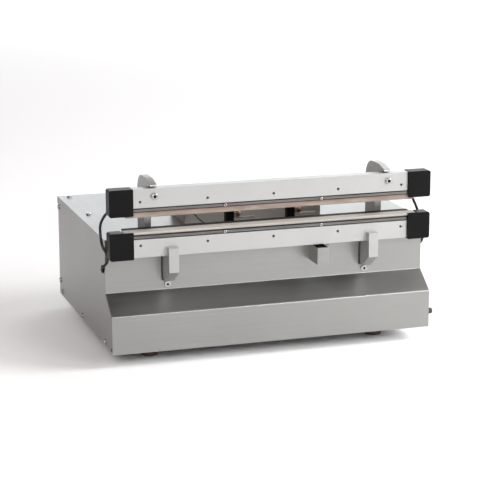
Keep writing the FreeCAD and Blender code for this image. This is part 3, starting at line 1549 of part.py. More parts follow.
def make_model():
    make_front_panel()
    make_side_panel("side_panel_left", -1)
    make_side_panel("side_panel_right", 1)
    make_top_cover()
    make_rear_panel()
    make_base_tray()
    make_feet()
    make_housing_screws()
    make_post("post_left", -1)
    make_post("post_right", 1)
    make_post_brackets()
    make_post_bolts()
    make_guide_bridge()
    make_upper_bar()
    make_clamp_strip("upper_clamp_strip", upper_clamp_low)
    make_clamp_strip("lower_clamp_strip", lower_clamp_low)
    make_clamp_screws("upper_clamp_screws", upper_clamp_low)
    make_clamp_screws("lower_clamp_screws", lower_clamp_low)
    make_upper_tape()
    make_heating_parts()
    make_band_clamps()
    for name, side in (("left", -1), ("right", 1)):
        make_cap(f"upper_cap_{name}", side, upper_cap_low, upper_cap_top, upper_cap_low - d.sheet,
                 tape_low + d.tape_height + d.seat_gap, d.band_overrun + d.cap_wall)
        make_cap(f"lower_cap_{name}", side, lower_cap_low, lower_cap_top,
                 lower_core_top - d.seat_gap, lower_cap_top + d.sheet, d.strip_overrun + d.cap_wall)
    make_lower_bar()
    make_sealing_strip()
    make_rear_shelf()
    make_carrier_arm("carrier_arm_left", -1)
    make_carrier_arm("carrier_arm_right", 1)
    make_carriage_beam()
    make_carrier_bolts()
    make_guides()
    make_return_springs()
    make_solenoids()
    make_trip_parts()
    make_console()
    make_controls()
    make_rocker()
    make_film_switches()
    make_transformer()
    make_control_board()
    make_rear_fittings()
    make_small_fittings()
    make_leads()


def check_model():
    document.recompute()
    for item in document.Objects:
        if "Invalid" in item.State or "Error" in item.State:
            raise RuntimeError(f"{item.Label} failed: {item.State}")
    for item in nodes:
        if item.Shape.isNull() or not item.Shape.isValid():
            raise RuntimeError(f"{item.Label} has no valid shape")


def write_parts():
    os.makedirs("parts", exist_ok=True)
    for item in nodes:
        item.Shape.exportStep(os.path.join("parts", f"{item.Label}.step"))
    print(len(nodes), "parts written")


make_model()
check_model()
write_parts()
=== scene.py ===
import json
import math

import bmesh
import bpy
from mathutils import Matrix, Vector
from mathutils.bvhtree import BVHTree


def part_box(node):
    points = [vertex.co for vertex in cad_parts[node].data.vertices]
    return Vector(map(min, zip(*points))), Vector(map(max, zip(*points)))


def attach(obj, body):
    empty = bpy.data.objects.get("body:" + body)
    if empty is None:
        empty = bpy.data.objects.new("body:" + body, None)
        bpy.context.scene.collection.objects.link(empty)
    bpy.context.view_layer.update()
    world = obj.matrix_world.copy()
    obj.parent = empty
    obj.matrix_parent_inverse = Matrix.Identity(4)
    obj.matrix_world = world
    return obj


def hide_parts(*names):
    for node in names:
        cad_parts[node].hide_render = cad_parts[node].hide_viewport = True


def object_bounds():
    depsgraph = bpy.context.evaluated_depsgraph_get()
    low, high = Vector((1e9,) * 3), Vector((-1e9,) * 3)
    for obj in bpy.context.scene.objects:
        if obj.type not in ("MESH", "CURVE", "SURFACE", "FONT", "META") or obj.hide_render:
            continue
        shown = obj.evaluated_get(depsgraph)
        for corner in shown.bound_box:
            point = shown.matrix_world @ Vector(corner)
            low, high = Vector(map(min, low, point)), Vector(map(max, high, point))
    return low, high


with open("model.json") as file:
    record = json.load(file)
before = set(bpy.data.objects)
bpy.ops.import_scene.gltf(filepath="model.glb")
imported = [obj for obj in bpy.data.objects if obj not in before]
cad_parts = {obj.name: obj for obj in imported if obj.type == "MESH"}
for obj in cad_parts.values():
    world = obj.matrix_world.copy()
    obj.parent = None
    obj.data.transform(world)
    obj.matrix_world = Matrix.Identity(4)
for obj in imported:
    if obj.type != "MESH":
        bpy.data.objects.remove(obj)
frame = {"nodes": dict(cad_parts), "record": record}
nodes = frame["nodes"]
record = frame["record"]
cad_low, cad_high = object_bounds()
scene = bpy.context.scene
mm = 0.001

slot_of_node = {part["node"]: part["material_slot"] for part in record["subparts"]}
body_of_node = {
    node: body for body, members in record["behaviour"]["bodies"].items() for node in members
}


# Studio

camera_lens = 127.83
camera_place = (-0.82705, -2.60561, 0.78115)
camera_pitch = math.radians(76.343)
camera_heading = math.radians(-18.031)
light_aim = Vector((0, 0, 0.1))
white = (1, 1, 1)
# Name, place, width and height, power, colour
softboxes = (
    ("rear_softbox", (1.6, 5.2, 1.5), (7.0, 2.0), 100, (0.95, 0.98, 1.0)),
    ("right_softbox", (1.9, -0.7, 1.3), (1.2, 1.2), 62, white),
    ("front_right_softbox", (2.2, -4.2, 2.2), (2.5, 1.6), 92, white),
    ("front_left_softbox", (-2.2, -4.0, 2.4), (2.0, 1.6), 122, white),
    ("high_softbox", (2.8, 2.6, 3.4), (3.0, 3.0), 66, white),
)
wall_top, ceiling_edge = 0.30, 0.50
black = (0, 0, 0)
wall_stops = ((wall_top, (0.92, 0.98, 1.06)), (ceiling_edge, black))
ceiling_stops = ((wall_top, black), (ceiling_edge, (1.10, 0.97, 0.94)))
room_side = 0.9
floor_reach = 9


def make_camera():
    data = bpy.data.cameras.new("camera")
    data.sensor_width = 36
    data.lens = camera_lens
    data.clip_end = 50
    camera = bpy.data.objects.new("camera", data)
    camera.location = camera_place
    camera.rotation_euler = (camera_pitch, 0, camera_heading)
    scene.collection.objects.link(camera)
    scene.camera = camera


def make_light(name, place, size, power, colour):
    """A soft rectangular light that looks at a point on the machine."""
    data = bpy.data.lights.new(name, "AREA")
    data.shape = "RECTANGLE"
    data.size, data.size_y = size
    data.energy = power
    data.color = colour
    light = bpy.data.objects.new(name, data)
    light.location = place
    light.rotation_euler = (light_aim - Vector(place)).to_track_quat("-Z", "Y").to_euler()
    scene.collection.objects.link(light)


def sky_share(tree, split, stops, left, right):
    """Light from a band of heights, fading from one strength on the left to another on the right."""
    height = tree.nodes.new("ShaderNodeValToRGB")
    tree.links.new(split.outputs["Z"], height.inputs[0])
    set_ramp(height.color_ramp, stops)
    side = tree.nodes.new("ShaderNodeMapRange")
    side.inputs["From Min"].default_value = -room_side
    side.inputs["From Max"].default_value = room_side
    side.inputs["To Min"].default_value = left
    side.inputs["To Max"].default_value = right
    tree.links.new(split.outputs["X"], side.inputs["Value"])
    scaled = tree.nodes.new("ShaderNodeVectorMath")
    scaled.operation = "SCALE"
    tree.links.new(height.outputs["Color"], scaled.inputs[0])
    tree.links.new(side.outputs["Result"], scaled.inputs["Scale"])
    return scaled.outputs[0]


def make_room():
    """Pale walls that are brighter on the right, under a ceiling that is brighter on the left."""
    scene.world = bpy.data.worlds.new("studio")
    scene.world.use_nodes = True
    tree = scene.world.node_tree
    background = tree.nodes["Background"]
    background.inputs["Strength"].default_value = 1.0
    direction = tree.nodes.new("ShaderNodeTexCoord")
    split = tree.nodes.new("ShaderNodeSeparateXYZ")
    tree.links.new(direction.outputs["Generated"], split.inputs[0])
    total = tree.nodes.new("ShaderNodeVectorMath")
    total.operation = "ADD"
    tree.links.new(sky_share(tree, split, wall_stops, 0.0, 0.44), total.inputs[0])
    tree.links.new(sky_share(tree, split, ceiling_stops, 0.54, 0.02), total.inputs[1])
    tree.links.new(total.outputs[0], background.inputs["Color"])


def make_floor():
    mesh = bpy.data.meshes.new("floor")
    corners = [(x * floor_reach, y * floor_reach, 0) for x, y in ((-1, -1), (1, -1), (1, 1), (-1, 1))]
    mesh.from_pydata(corners, [], [(0, 1, 2, 3)])
    mesh.materials.append(pale_floor())
    floor = bpy.data.objects.new("floor", mesh)
    scene.collection.objects.link(floor)


def make_studio():
    for softbox in softboxes:
        make_light(*softbox)
    make_room()
    make_floor()
    scene.view_settings.view_transform = "Standard"


# Finishes: every one is worked out from the piece's own coordinates

# Width of a wave texture's band at scale 1
band_width = math.pi / 10
# Noise scales of a fine scratch: low along the rubbing, high across it
scratch_along, scratch_across = 14, 2200
streaks_per_scratch = 1 / 5
tape_thread = 0.55 * mm
lamination = 0.5 * mm
groove_pitch = 5.7 * mm
track_pitch = 2.4 * mm


def set_ramp(ramp, stops):
    while len(ramp.elements) < len(stops):
        ramp.elements.new(1.0)
    for element, (position, colour) in zip(ramp.elements, stops):
        element.position = position
        element.color = (*colour, 1)


class Finish:
    """A Principled material and the short chains of nodes that vary it."""

    def __init__(self, name, colour, roughness, metallic=0.0, **sockets):
        self.material = bpy.data.materials.new(name)
        self.material.use_nodes = True
        self.material.diffuse_color = (*colour, 1)
        self.tree = self.material.node_tree
        self.shader = self.tree.nodes["Principled BSDF"]
        self.colour = colour
        self.roughness = roughness
        self.shader.inputs["Base Color"].default_value = (*colour, 1)
        self.shader.inputs["Roughness"].default_value = roughness
        self.shader.inputs["Metallic"].default_value = metallic
        for socket, value in sockets.items():
            self.shader.inputs[socket.replace("_", " ")].default_value = value
        self.place = self.tree.nodes.new("ShaderNodeTexCoord").outputs["Object"]

    def link(self, output, socket):
        self.tree.links.new(output, socket)

    def stretched(self, scale):
        """The piece's coordinates, scaled along each axis, so that noise becomes a grain."""
        mapping = self.tree.nodes.new("ShaderNodeMapping")
        mapping.inputs["Scale"].default_value = scale
        self.link(self.place, mapping.inputs["Vector"])
        return mapping.outputs["Vector"]

    def noise(self, scale, detail=3.0, place=None):
        texture = self.tree.nodes.new("ShaderNodeTexNoise")
        texture.inputs["Scale"].default_value = scale
        texture.inputs["Detail"].default_value = detail
        self.link(place or self.place, texture.inputs["Vector"])
        return texture.outputs["Fac"]

    def cells(self, scale):
        texture = self.tree.nodes.new("ShaderNodeTexVoronoi")
        texture.inputs["Scale"].default_value = scale
        self.link(self.place, texture.inputs["Vector"])
        return texture.outputs["Distance"]

    def ribs(self, axis, pitch, profile="SIN", offset=0.0):
        """Bands across an axis, one to each pitch."""
        texture = self.tree.nodes.new("ShaderNodeTexWave")
        texture.bands_direction = axis
        texture.wave_profile = profile
        texture.inputs["Scale"].default_value = band_width / pitch
        texture.inputs["Phase Offset"].default_value = offset
        self.link(self.place, texture.inputs["Vector"])
        return texture.outputs["Fac"]

    def combine(self, operation, first, second):
        node = self.tree.nodes.new("ShaderNodeMath")
        node.operation = operation
        for socket, value in zip(node.inputs, (first, second)):
            if isinstance(value, (int, float)):
                socket.default_value = value
            else:
                self.link(value, socket)
        return node.outputs[0]

    def spread(self, source, low, high, from_low=0.3, from_high=0.7):
        """Maps a texture's usual span to another one."""
        node = self.tree.nodes.new("ShaderNodeMapRange")
        for name, value in (("From Min", from_low), ("From Max", from_high),
                            ("To Min", low), ("To Max", high)):
            node.inputs[name].default_value = value
        self.link(source, node.inputs["Value"])
        return node.outputs["Result"]

    def tint(self, source, stops):
        ramp = self.tree.nodes.new("ShaderNodeValToRGB")
        set_ramp(ramp.color_ramp, stops)
        self.link(source, ramp.inputs["Fac"])
        self.link(ramp.outputs["Color"], self.shader.inputs["Base Color"])
        return self

    def vary_roughness(self, source, change):
        low, high = self.roughness - change, self.roughness + change
        self.link(self.spread(source, low, high), self.shader.inputs["Roughness"])
        return self

    def bump(self, source, height, strength=1.0):
        node = self.tree.nodes.new("ShaderNodeBump")
        node.inputs["Distance"].default_value = height
        node.inputs["Strength"].default_value = strength
        self.link(source, node.inputs["Height"])
        self.link(node.outputs["Normal"], self.shader.inputs["Normal"])
        return self

    def shades(self, amount):
        """The base colour, a darker and a lighter tone of it, as ramp stops."""
        dark = tuple(c * (1 - amount) for c in self.colour)
        light = tuple(min(1, c * (1 + amount)) for c in self.colour)
        return ((0.25, dark), (0.5, self.colour), (0.75, light))


def brushed(name, colour, roughness, along, depth=0.012 * mm, contrast=0.10):
    """Metal rubbed along one axis: fine scratches, long streaks, and hazy patches from handling."""
    finish = Finish(name, colour, roughness, 1.0)
    scales = [scratch_along if axis == along else scratch_across for axis in "xyz"]
    scratches = finish.noise(1.0, 4.0, finish.stretched(scales))
    streaks = finish.noise(1.0, 4.0, finish.stretched([scale * streaks_per_scratch
                                                       for scale in scales]))
    haze = finish.noise(9.0, 4.0)
    grain = finish.combine("ADD", finish.combine("MULTIPLY", scratches, 0.35),
                           finish.combine("MULTIPLY", streaks, 0.35))
    mixed = finish.combine("ADD", grain, finish.combine("MULTIPLY", haze, 0.3))
    finish.tint(mixed, finish.shades(contrast))
    finish.vary_roughness(mixed, 0.07)
    return finish.bump(scratches, depth, 0.5).material


def rolled_strip():
    """A clamp strip with long rolled grooves, dark, with streaks of old flux and dust and painted
    shade in the bands along its grooves.
    """
    finish = Finish("rolled_clamp_strip", (0.17, 0.165, 0.16), 0.32, 1.0)
    grooves = finish.ribs("Z", groove_pitch, offset=-0.88)
    streaks = finish.noise(1.0, 5.0, finish.stretched((20, 900, 900)))
    # Painted shade: the bands along the grooves are darkened, multiplied by long streaks of tone
    groove_shade_and_streaks = finish.combine("MULTIPLY", finish.spread(grooves, 0.15, 1.0, 0.05, 0.6),
                          finish.spread(streaks, 0.65, 1.25))
    finish.tint(groove_shade_and_streaks, ((0.05, (0.020, 0.018, 0.017)), (0.5, (0.085, 0.082, 0.078)),
                       (1.0, (0.19, 0.185, 0.178))))
    return finish.bump(streaks, 0.03 * mm).material


def blasted(name, colour, roughness, grit=1500, depth=0.02 * mm):
    """Metal with a fine even texture."""
    finish = Finish(name, colour, roughness, 1.0)
    grains = finish.noise(grit, 2.0)
    haze = finish.noise(14.0, 4.0)
    finish.tint(haze, finish.shades(0.05)).vary_roughness(haze, 0.05)
    return finish.bump(grains, depth, 0.6).material


def moulded(name, colour, roughness, grit=900, depth=0.05 * mm, dust=0.25, **sockets):
    """Plastic or rubber from a spark-eroded mould, a little dusty."""
    finish = Finish(name, colour, roughness, **sockets)
    grains = finish.noise(grit, 3.0)
    haze = finish.noise(26.0, 5.0)
    finish.tint(haze, finish.shades(dust)).vary_roughness(haze, 0.06)
    return finish.bump(grains, depth, 0.7).material


def plated(name, colour, roughness):
    """Bright plating with faint turning marks and cloudy passivation."""
    finish = Finish(name, colour, roughness, 1.0)
    cloud = finish.noise(140.0, 3.0)
    finish.tint(cloud, finish.shades(0.10)).vary_roughness(cloud, 0.06)
    return finish.bump(finish.noise(1800.0, 2.0), 0.008 * mm, 0.5).material


def woven_tape():
    """Glass cloth soaked in non-stick resin: crossing threads, browned by heat under the band."""
    finish = Finish("woven_tape", (0.25, 0.185, 0.15), 0.36, Coat_Weight=0.25, Coat_Roughness=0.3)
    warp = finish.ribs("X", tape_thread)
    weft = finish.combine("MAXIMUM", finish.ribs("Y", tape_thread), finish.ribs("Z", tape_thread))
    cloth = finish.combine("MULTIPLY", warp, weft)
    stains = finish.noise(1.0, 5.0, finish.stretched((26, 160, 160)))
    finish.tint(stains, ((0.25, (0.17, 0.12, 0.095)), (0.5, (0.25, 0.185, 0.15)),
                         (0.8, (0.33, 0.265, 0.225))))
    finish.vary_roughness(stains, 0.06)
    return finish.bump(cloth, 0.06 * mm, 0.8).material


def silicone():
    finish = Finish("silicone", (0.34, 0.31, 0.28), 0.55, Subsurface_Weight=0.04)
    streaks = finish.noise(1.0, 4.0, finish.stretched((18, 240, 240)))
    finish.tint(streaks, finish.shades(0.10)).vary_roughness(streaks, 0.05)
    return finish.bump(finish.noise(1200.0, 2.0), 0.02 * mm, 0.6).material


def laminations():
    finish = Finish("laminations", (0.20, 0.20, 0.22), 0.45, 0.9)
    sheets = finish.ribs("Y", lamination, "SAW")
    finish.tint(sheets, ((0.0, (0.05, 0.05, 0.055)), (0.3, (0.20, 0.20, 0.22)),
                         (1.0, (0.27, 0.27, 0.29))))
    return finish.bump(sheets, 0.12 * mm).material


def wound_wire(name, colour, pitch):
    """Varnished wire laid turn on turn, up a coil, with painted shade in the valleys between turns.
    """
    finish = Finish(name, colour, 0.28, 0.4, Coat_Weight=0.6, Coat_Roughness=0.12)
    turns = finish.ribs("Z", pitch)
    cloud = finish.noise(60.0, 3.0)
    # Painted shade: the colour darkens to about a third in the valleys between the turns
    finish.tint(finish.combine("MULTIPLY", turns, finish.spread(cloud, 0.7, 1.1)),
                ((0.0, tuple(c * 0.35 for c in colour)), (0.6, colour), (1.0, colour)))
    return finish.bump(turns, pitch * 0.4).material


def board_mask():
    """Green solder mask over copper tracks."""
    finish = Finish("board_mask", (0.03, 0.20, 0.09), 0.3, Coat_Weight=0.4, Coat_Roughness=0.15)
    tracks = finish.combine("GREATER_THAN", finish.ribs("X", track_pitch), 0.62)
    lanes = finish.combine("GREATER_THAN", finish.noise(70.0, 0.0), 0.5)
    copper = finish.combine("MULTIPLY", tracks, lanes)
    finish.tint(copper, ((0.0, (0.02, 0.15, 0.07)), (1.0, (0.05, 0.30, 0.13))))
    return finish.bump(copper, 0.05 * mm).material


def sintered():
    finish = Finish("sintered_bronze", (0.52, 0.35, 0.17), 0.4, 1.0)
    pores = finish.spread(finish.cells(1400.0), 0.0, 1.0, 0.05, 0.35)
    finish.tint(pores, ((0.0, (0.10, 0.06, 0.03)), (0.5, (0.46, 0.30, 0.15)),
                        (1.0, (0.58, 0.40, 0.20))))
    return finish.bump(pores, 0.03 * mm).material


def lacquer(name, colour, roughness=0.45):
    """Sprayed paint with a light orange peel."""
    finish = Finish(name, colour, roughness, Coat_Weight=0.2, Coat_Roughness=0.3)
    peel = finish.noise(420.0, 2.0)
    haze = finish.noise(12.0, 4.0)
    finish.tint(haze, finish.shades(0.08)).vary_roughness(haze, 0.05)
    return finish.bump(peel, 0.05 * mm, 0.6).material


def lens_plastic(name, colour):
    finish = Finish(name, colour, 0.12, Transmission_Weight=0.35, Coat_Weight=0.5, IOR=1.49)
    cloud = finish.noise(300.0, 2.0)
    return finish.tint(cloud, finish.shades(0.15)).vary_roughness(cloud, 0.03).material


def pale_floor():
    finish = Finish("pale_floor", (0.93, 0.93, 0.93), 0.7)
    cloud = finish.noise(2.0, 2.0)
    return finish.vary_roughness(cloud, 0.02).material


steel_tone = (0.31, 0.31, 0.30)
bar_tone = (0.47, 0.47, 0.465)
plate_tone = (0.44, 0.44, 0.435)
plating_tone = (0.40, 0.40, 0.405)

finishes = {
    "sheet_along_x": brushed("stainless_brushed_across", steel_tone, 0.36, "x"),
    "sheet_along_y": brushed("stainless_brushed_fore_and_aft", steel_tone, 0.38, "y"),
    "bar": brushed("anodised_bar", bar_tone, 0.42, "x", 0.008 * mm, 0.04),
    "clamp": rolled_strip(),
    "plate": blasted("blasted_plate", plate_tone, 0.44),
    "plating": plated("zinc_plating", plating_tone, 0.24),
    "lever": plated("spring_strip", (0.62, 0.55, 0.50), 0.38),
    "black": moulded("black_polyamide", (0.004, 0.0039, 0.004), 0.42, Specular_IOR_Level=0.11),
    "shelf": moulded("black_film_shelf", (0.008, 0.007, 0.007), 0.6, Specular_IOR_Level=0.08),
    "lead": moulded("black_lead_sheath", (0.010, 0.010, 0.011), 0.4, 500, 0.03 * mm,
                    Specular_IOR_Level=0.35),
    "foot": moulded("brown_foot_rubber", (0.11, 0.068, 0.052), 0.62, 700, 0.06 * mm, 0.35),
    "plug": moulded("brown_plug_rubber", (0.035, 0.018, 0.014), 0.5, 700, 0.05 * mm, 0.3),
    "tape": woven_tape(),
    "silicone": silicone(),
    "pad": moulded("grey_silicone_pad", (0.30, 0.28, 0.27), 0.6),
    "band": brushed("resistance_band", (0.45, 0.43, 0.40), 0.3, "x"),
    "brass": blasted("turned_brass", (0.72, 0.55, 0.27), 0.28, 900, 0.01 * mm),
    "bronze": sintered(),
    "frame": lacquer("grey_frame_lacquer", (0.30, 0.31, 0.33)),
    "console": lacquer("console_lacquer", (0.34, 0.315, 0.29), 0.5),
    "core": laminations(),
    "winding": wound_wire("transformer_wire", (0.45, 0.20, 0.08), 1.1 * mm),
    "coil": wound_wire("solenoid_wire", (0.50, 0.24, 0.09), 0.9 * mm),
    "board": board_mask(),
    "blackened": plated("blackened_steel", (0.10, 0.10, 0.10), 0.35),
    "copper": blasted("copper_roller", (0.46, 0.25, 0.20), 0.35),
    "marks": moulded("white_marking", (0.80, 0.80, 0.78), 0.5, 900, 0.01 * mm, 0.05),
    "lamp": lens_plastic("green_lamp_lens", (0.06, 0.50, 0.14)),
    "rocker": moulded("red_rocker", (0.42, 0.03, 0.025), 0.3, 900, 0.02 * mm, 0.12,
                      Coat_Weight=0.3, Coat_Roughness=0.15),
}

finish_of_slot = {
    "stainless": "sheet_along_x", "jaw_aluminium": "bar", "cast_grey": "plate",
    "black_plastic": "black", "tape": "tape", "silicone": "silicone", "foot_rubber": "foot",
    "steel_hardware": "plating", "band_alloy": "band", "brass": "brass", "bronze": "bronze",
    "frame_steel": "frame", "core_steel": "core", "winding": "winding", "board": "board",
    "lead_rubber": "lead", "lamp_green": "lamp", "rocker_red": "rocker",
}
finish_of_node = {
    "side_panel_left": "sheet_along_y", "side_panel_right": "sheet_along_y",
    "top_cover": "sheet_along_y", "upper_clamp_strip": "clamp", "lower_clamp_strip": "clamp",
    "lower_rear_shelf": "shelf", "film_lever_left": "lever", "film_lever_right": "lever",
    "upper_insulating_pad": "pad", "solenoid_coils": "coil", "control_console": "console",
    "side_plug": "plug",
}


def finish_for(node):
    return finishes[finish_of_node.get(node) or finish_of_slot[slot_of_node[node]]]


def dress_nodes():
    for node, piece in nodes.items():
        for holder in piece.material_slots:
            holder.material = finish_for(node)


# Pieces

# Angles between faces, in degrees
sharp_angle = 32
least_bend, most_bend = 15, 80
long_edge = 400 * mm
cut_edge_weight = 0.12
bend_softness = 1.8 * mm

nodes_of_edge_width = {
    0.25 * mm: ("side_panel_left", "side_panel_right", "top_cover", "rear_panel", "base_tray",
                "trip_hood", "control_console"),
    0.4 * mm: ("upper_jaw_bar", "lower_jaw_bar", "film_switches"),
    0.2 * mm: ("upper_clamp_strip", "lower_clamp_strip", "film_lever_left", "film_lever_right",
               "position_sensor", "power_rocker", "rocker_housing"),
    0.12 * mm: ("post_bolts", "slot_screws", "housing_screws", "upper_clamp_screws",
                "lower_clamp_screws"),
    0.6 * mm: ("post_left", "post_right", "carrier_arm_left", "carrier_arm_right",
               "carriage_beam", "rubber_feet"),
    0.9 * mm: ("upper_cap_left", "upper_cap_right", "lower_cap_left", "lower_cap_right"),
}


def new_piece(name, mesh, body, material=None):
    """Puts a finished mesh into the scene and lets it ride on its body."""
    piece = bpy.data.objects.new(name, mesh)
    scene.collection.objects.link(piece)
    if material is not None:
        mesh.materials.clear()
        mesh.materials.append(material)
    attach(piece, body)
    return piece


def settled(piece):
    """A plain mesh of an object with its modifiers worked out; the object goes."""
    bpy.context.view_layer.update()
    evaluated = piece.evaluated_get(bpy.context.evaluated_depsgraph_get())
    mesh = bpy.data.meshes.new_from_object(evaluated)
    mesh.transform(piece.matrix_world)
    bpy.data.objects.remove(piece)
    return mesh


def weigh_bends(form):
    """Full bevel weight on the long bends of a folded sheet, a little on its cut edges."""
    weight = form.edges.layers.float.new("bevel_weight_edge")
    for edge in form.edges:
        if len(edge.link_faces) == 2:
            angle = math.degrees(edge.calc_face_angle(0))
            if edge.calc_length() > long_edge and least_bend < angle < most_bend:
                edge[weight] = 1.0
            elif angle > sharp_angle:
                edge[weight] = cut_edge_weight


def soften(node, width, segments=2, weigh=None):
    """Replaces a CAD node by a copy whose sharp edges are broken, as a deburred part's are."""
    mesh = bpy.data.meshes.new(f"{node}_edges_broken")
    form = bmesh.new()
    form.from_mesh(nodes[node].data)
    bmesh.ops.remove_doubles(form, verts=form.verts, dist=0.002 * mm)
    bmesh.ops.dissolve_limit(form, angle_limit=math.radians(0.4), verts=form.verts,
                             edges=form.edges)
    if weigh:
        weigh(form)
    form.to_mesh(mesh)
    form.free()
    if "custom_normal" in mesh.attributes:
        mesh.attributes.remove(mesh.attributes["custom_normal"])
    mesh.shade_smooth()
    work = bpy.data.objects.new("work", mesh)
    scene.collection.objects.link(work)
    bevel = work.modifiers.new("bevel", "BEVEL")
    bevel.width = width
    bevel.segments = segments
    bevel.limit_method = "WEIGHT" if weigh else "ANGLE"
    bevel.angle_limit = math.radians(sharp_angle)
    bevel.harden_normals = True
    piece = new_piece(f"{node}_finished", settled(work), body_of_node[node],
                      finish_for(node))
    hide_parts(node)


def soften_pieces():
    for width, group in nodes_of_edge_width.items():
        for node in group:
            soften(node, width)
    soften("front_panel", bend_softness, 4, weigh_bends)


# Shapes that the details are made of

def in_mm(*values):
    return tuple(value * mm for value in values)


def meshed(name, form):
    mesh = bpy.data.meshes.new(name)
    bmesh.ops.recalc_face_normals(form, faces=form.faces)
    form.to_mesh(mesh)
    form.free()
    return mesh


def placed(name, form, place, smooth=False):
    """A mesh of a form, moved to its place on the machine."""
    mesh = meshed(name, form)
    mesh.transform(place)
    if smooth:
        mesh.shade_smooth()
    return mesh


def block(low, high, edge):
    """A box between two corners, with broken edges."""
    form = bmesh.new()
    bmesh.ops.create_cube(form, size=1)
    middle = [(a + b) / 2 for a, b in zip(low, high)]
    bmesh.ops.scale(form, vec=[b - a for a, b in zip(low, high)], verts=form.verts)
    bmesh.ops.translate(form, vec=middle, verts=form.verts)
    bmesh.ops.bevel(form, geom=form.edges[:], offset=edge, segments=2, affect="EDGES")
    return form


def lathe(profile, steps=40, flats=0, flats_within=0.0):
    """Turns a profile of (radius, height) pairs about Z; rings within a radius can have flats."""
    form = bmesh.new()
    rings = []
    for radius, height in profile:
        if radius == 0:
            rings.append([form.verts.new((0, 0, height))] * steps)
            continue
        ring = []
        for step in range(steps):
            angle = 2 * math.pi * step / steps
            reach = radius
            if flats and radius <= flats_within:
                wedge = 2 * math.pi / flats
                reach = radius / math.cos((angle % wedge) - wedge / 2) * math.cos(wedge / 2)
            ring.append(form.verts.new((reach * math.cos(angle), reach * math.sin(angle), height)))
        rings.append(ring)
    for lower, upper in zip(rings, rings[1:]):
        for step in range(steps):
            after = (step + 1) % steps
            loop = []
            for corner in (lower[step], lower[after], upper[after], upper[step]):
                if corner not in loop:
                    loop.append(corner)
            form.faces.new(loop)
    return form


def turned(centre, toward):
    """The matrix that sets a shape made around Z on a point, facing a direction."""
    turn = Vector(toward).to_track_quat("Z", "Y").to_matrix().to_4x4()
    return Matrix.Translation(centre) @ turn


def surface_of(node):
    """A CAD node's surface, to find points on it."""
    mesh = nodes[node].data
    return BVHTree.FromPolygons([corner.co for corner in mesh.vertices],
                                [face.vertices for face in mesh.polygons])


def tube(points, radius):
    """A smooth round wire through points."""
    data = bpy.data.curves.new("wire", "CURVE")
    data.dimensions = "3D"
    data.bevel_depth = radius
    data.bevel_resolution = 4
    data.use_fill_caps = True
    line = data.splines.new("NURBS")
    line.points.add(len(points) - 1)
    line.order_u = 4
    line.use_endpoint_u = True
    line.resolution_u = 10
    for point, place in zip(line.points, points):
        point.co = (*place, 1)
    work = bpy.data.objects.new("work", data)
    scene.collection.objects.link(work)
    return settled(work)


def lettering(text, size, place):
    """Raised numerals or marks, centred on a place."""
    data = bpy.data.curves.new("mark", "FONT")
    data.body = text
    data.size = size
    data.extrude = 0.05 * mm
    data.align_x = "CENTER"
    data.align_y = "CENTER"
    work = bpy.data.objects.new("work", data)
    scene.collection.objects.link(work)
    work.matrix_world = place
    return settled(work)


def joined(meshes):
    form = bmesh.new()
    for mesh in meshes:
        form.from_mesh(mesh)
    return meshed("joined", form)


# Repeated details, each laid out by a small tree of geometry nodes

class Layout:
    """A geometry node tree with named inputs, which ends in real geometry and one material."""

    def __init__(self, name, inputs):
        self.group = bpy.data.node_groups.new(name, "GeometryNodeTree")
        sockets = self.group.interface
        sockets.new_socket("Seats", in_out="INPUT", socket_type="NodeSocketGeometry")
        for label, kind in (*inputs, ("Copy", "Object"), ("Finish", "Material")):
            sockets.new_socket(label, in_out="INPUT", socket_type=f"NodeSocket{kind}")
        sockets.new_socket("Result", in_out="OUTPUT", socket_type="NodeSocketGeometry")
        self.entry = self.group.nodes.new("NodeGroupInput")

    def node(self, kind, **links):
        node = self.group.nodes.new(f"GeometryNode{kind}")
        for socket, source in links.items():
            self.group.links.new(source, node.inputs[socket.replace("_", " ")])
        return node

    def turn(self, axis, vector):
        """Rotations that bring one axis of each copy onto a vector."""
        node = self.group.nodes.new("FunctionNodeAlignRotationToVector")
        node.axis = axis
        self.group.links.new(vector, node.inputs["Vector"])
        return node.outputs["Rotation"]

    def finish(self, points, rotation):
        copy = self.node("ObjectInfo", Object=self.entry.outputs["Copy"])
        copy.transform_space = "RELATIVE"
        copies = self.node("InstanceOnPoints", Points=points, Instance=copy.outputs["Geometry"],
                           Rotation=rotation)
        real = self.node("RealizeInstances", Geometry=copies.outputs["Instances"])
        dressed = self.node("SetMaterial", Geometry=real.outputs["Geometry"],
                            Material=self.entry.outputs["Finish"])
        exit_node = self.group.nodes.new("NodeGroupOutput")
        self.group.links.new(dressed.outputs["Geometry"], exit_node.inputs["Result"])
        return self

    def build(self, name, copy, finish, body, slot, seats=None, place=None, **values):
        """Works the layout out and puts it into the scene as one piece."""
        template = bpy.data.objects.new("template", copy)
        work = bpy.data.objects.new("work", seats or bpy.data.meshes.new("no_seats"))
        scene.collection.objects.link(template)
        scene.collection.objects.link(work)
        modifier = work.modifiers.new("layout", "NODES")
        modifier.node_group = self.group
        given = {"Copy": template, "Finish": finishes[finish], **values}
        for item in self.group.interface.items_tree:
            if item.in_out == "INPUT" and item.name in given:
                modifier[item.identifier] = given[item.name]
        mesh = settled(work)
        bpy.data.objects.remove(template)
        if place is not None:
            mesh.transform(place)
        return new_piece(name, mesh, body)


def seat_layout():
    """Copies that stand on the faces of a seat mesh, each along its face's normal."""
    layout = Layout("copies_on_seats", ())
    normal = layout.group.nodes.new("GeometryNodeInputNormal").outputs["Normal"]
    points = layout.group.nodes.new("GeometryNodeMeshToPoints")
    points.mode = "FACES"
    kept = layout.group.nodes.new("GeometryNodeCaptureAttribute")
    kept.domain = "FACE"
    kept.capture_items.new("VECTOR", "toward")
    layout.group.links.new(layout.entry.outputs["Seats"], kept.inputs["Geometry"])
    layout.group.links.new(normal, kept.inputs["toward"])
    layout.group.links.new(kept.outputs["Geometry"], points.inputs["Mesh"])
    return layout.finish(points.outputs["Points"], layout.turn("Z", kept.outputs["toward"]))


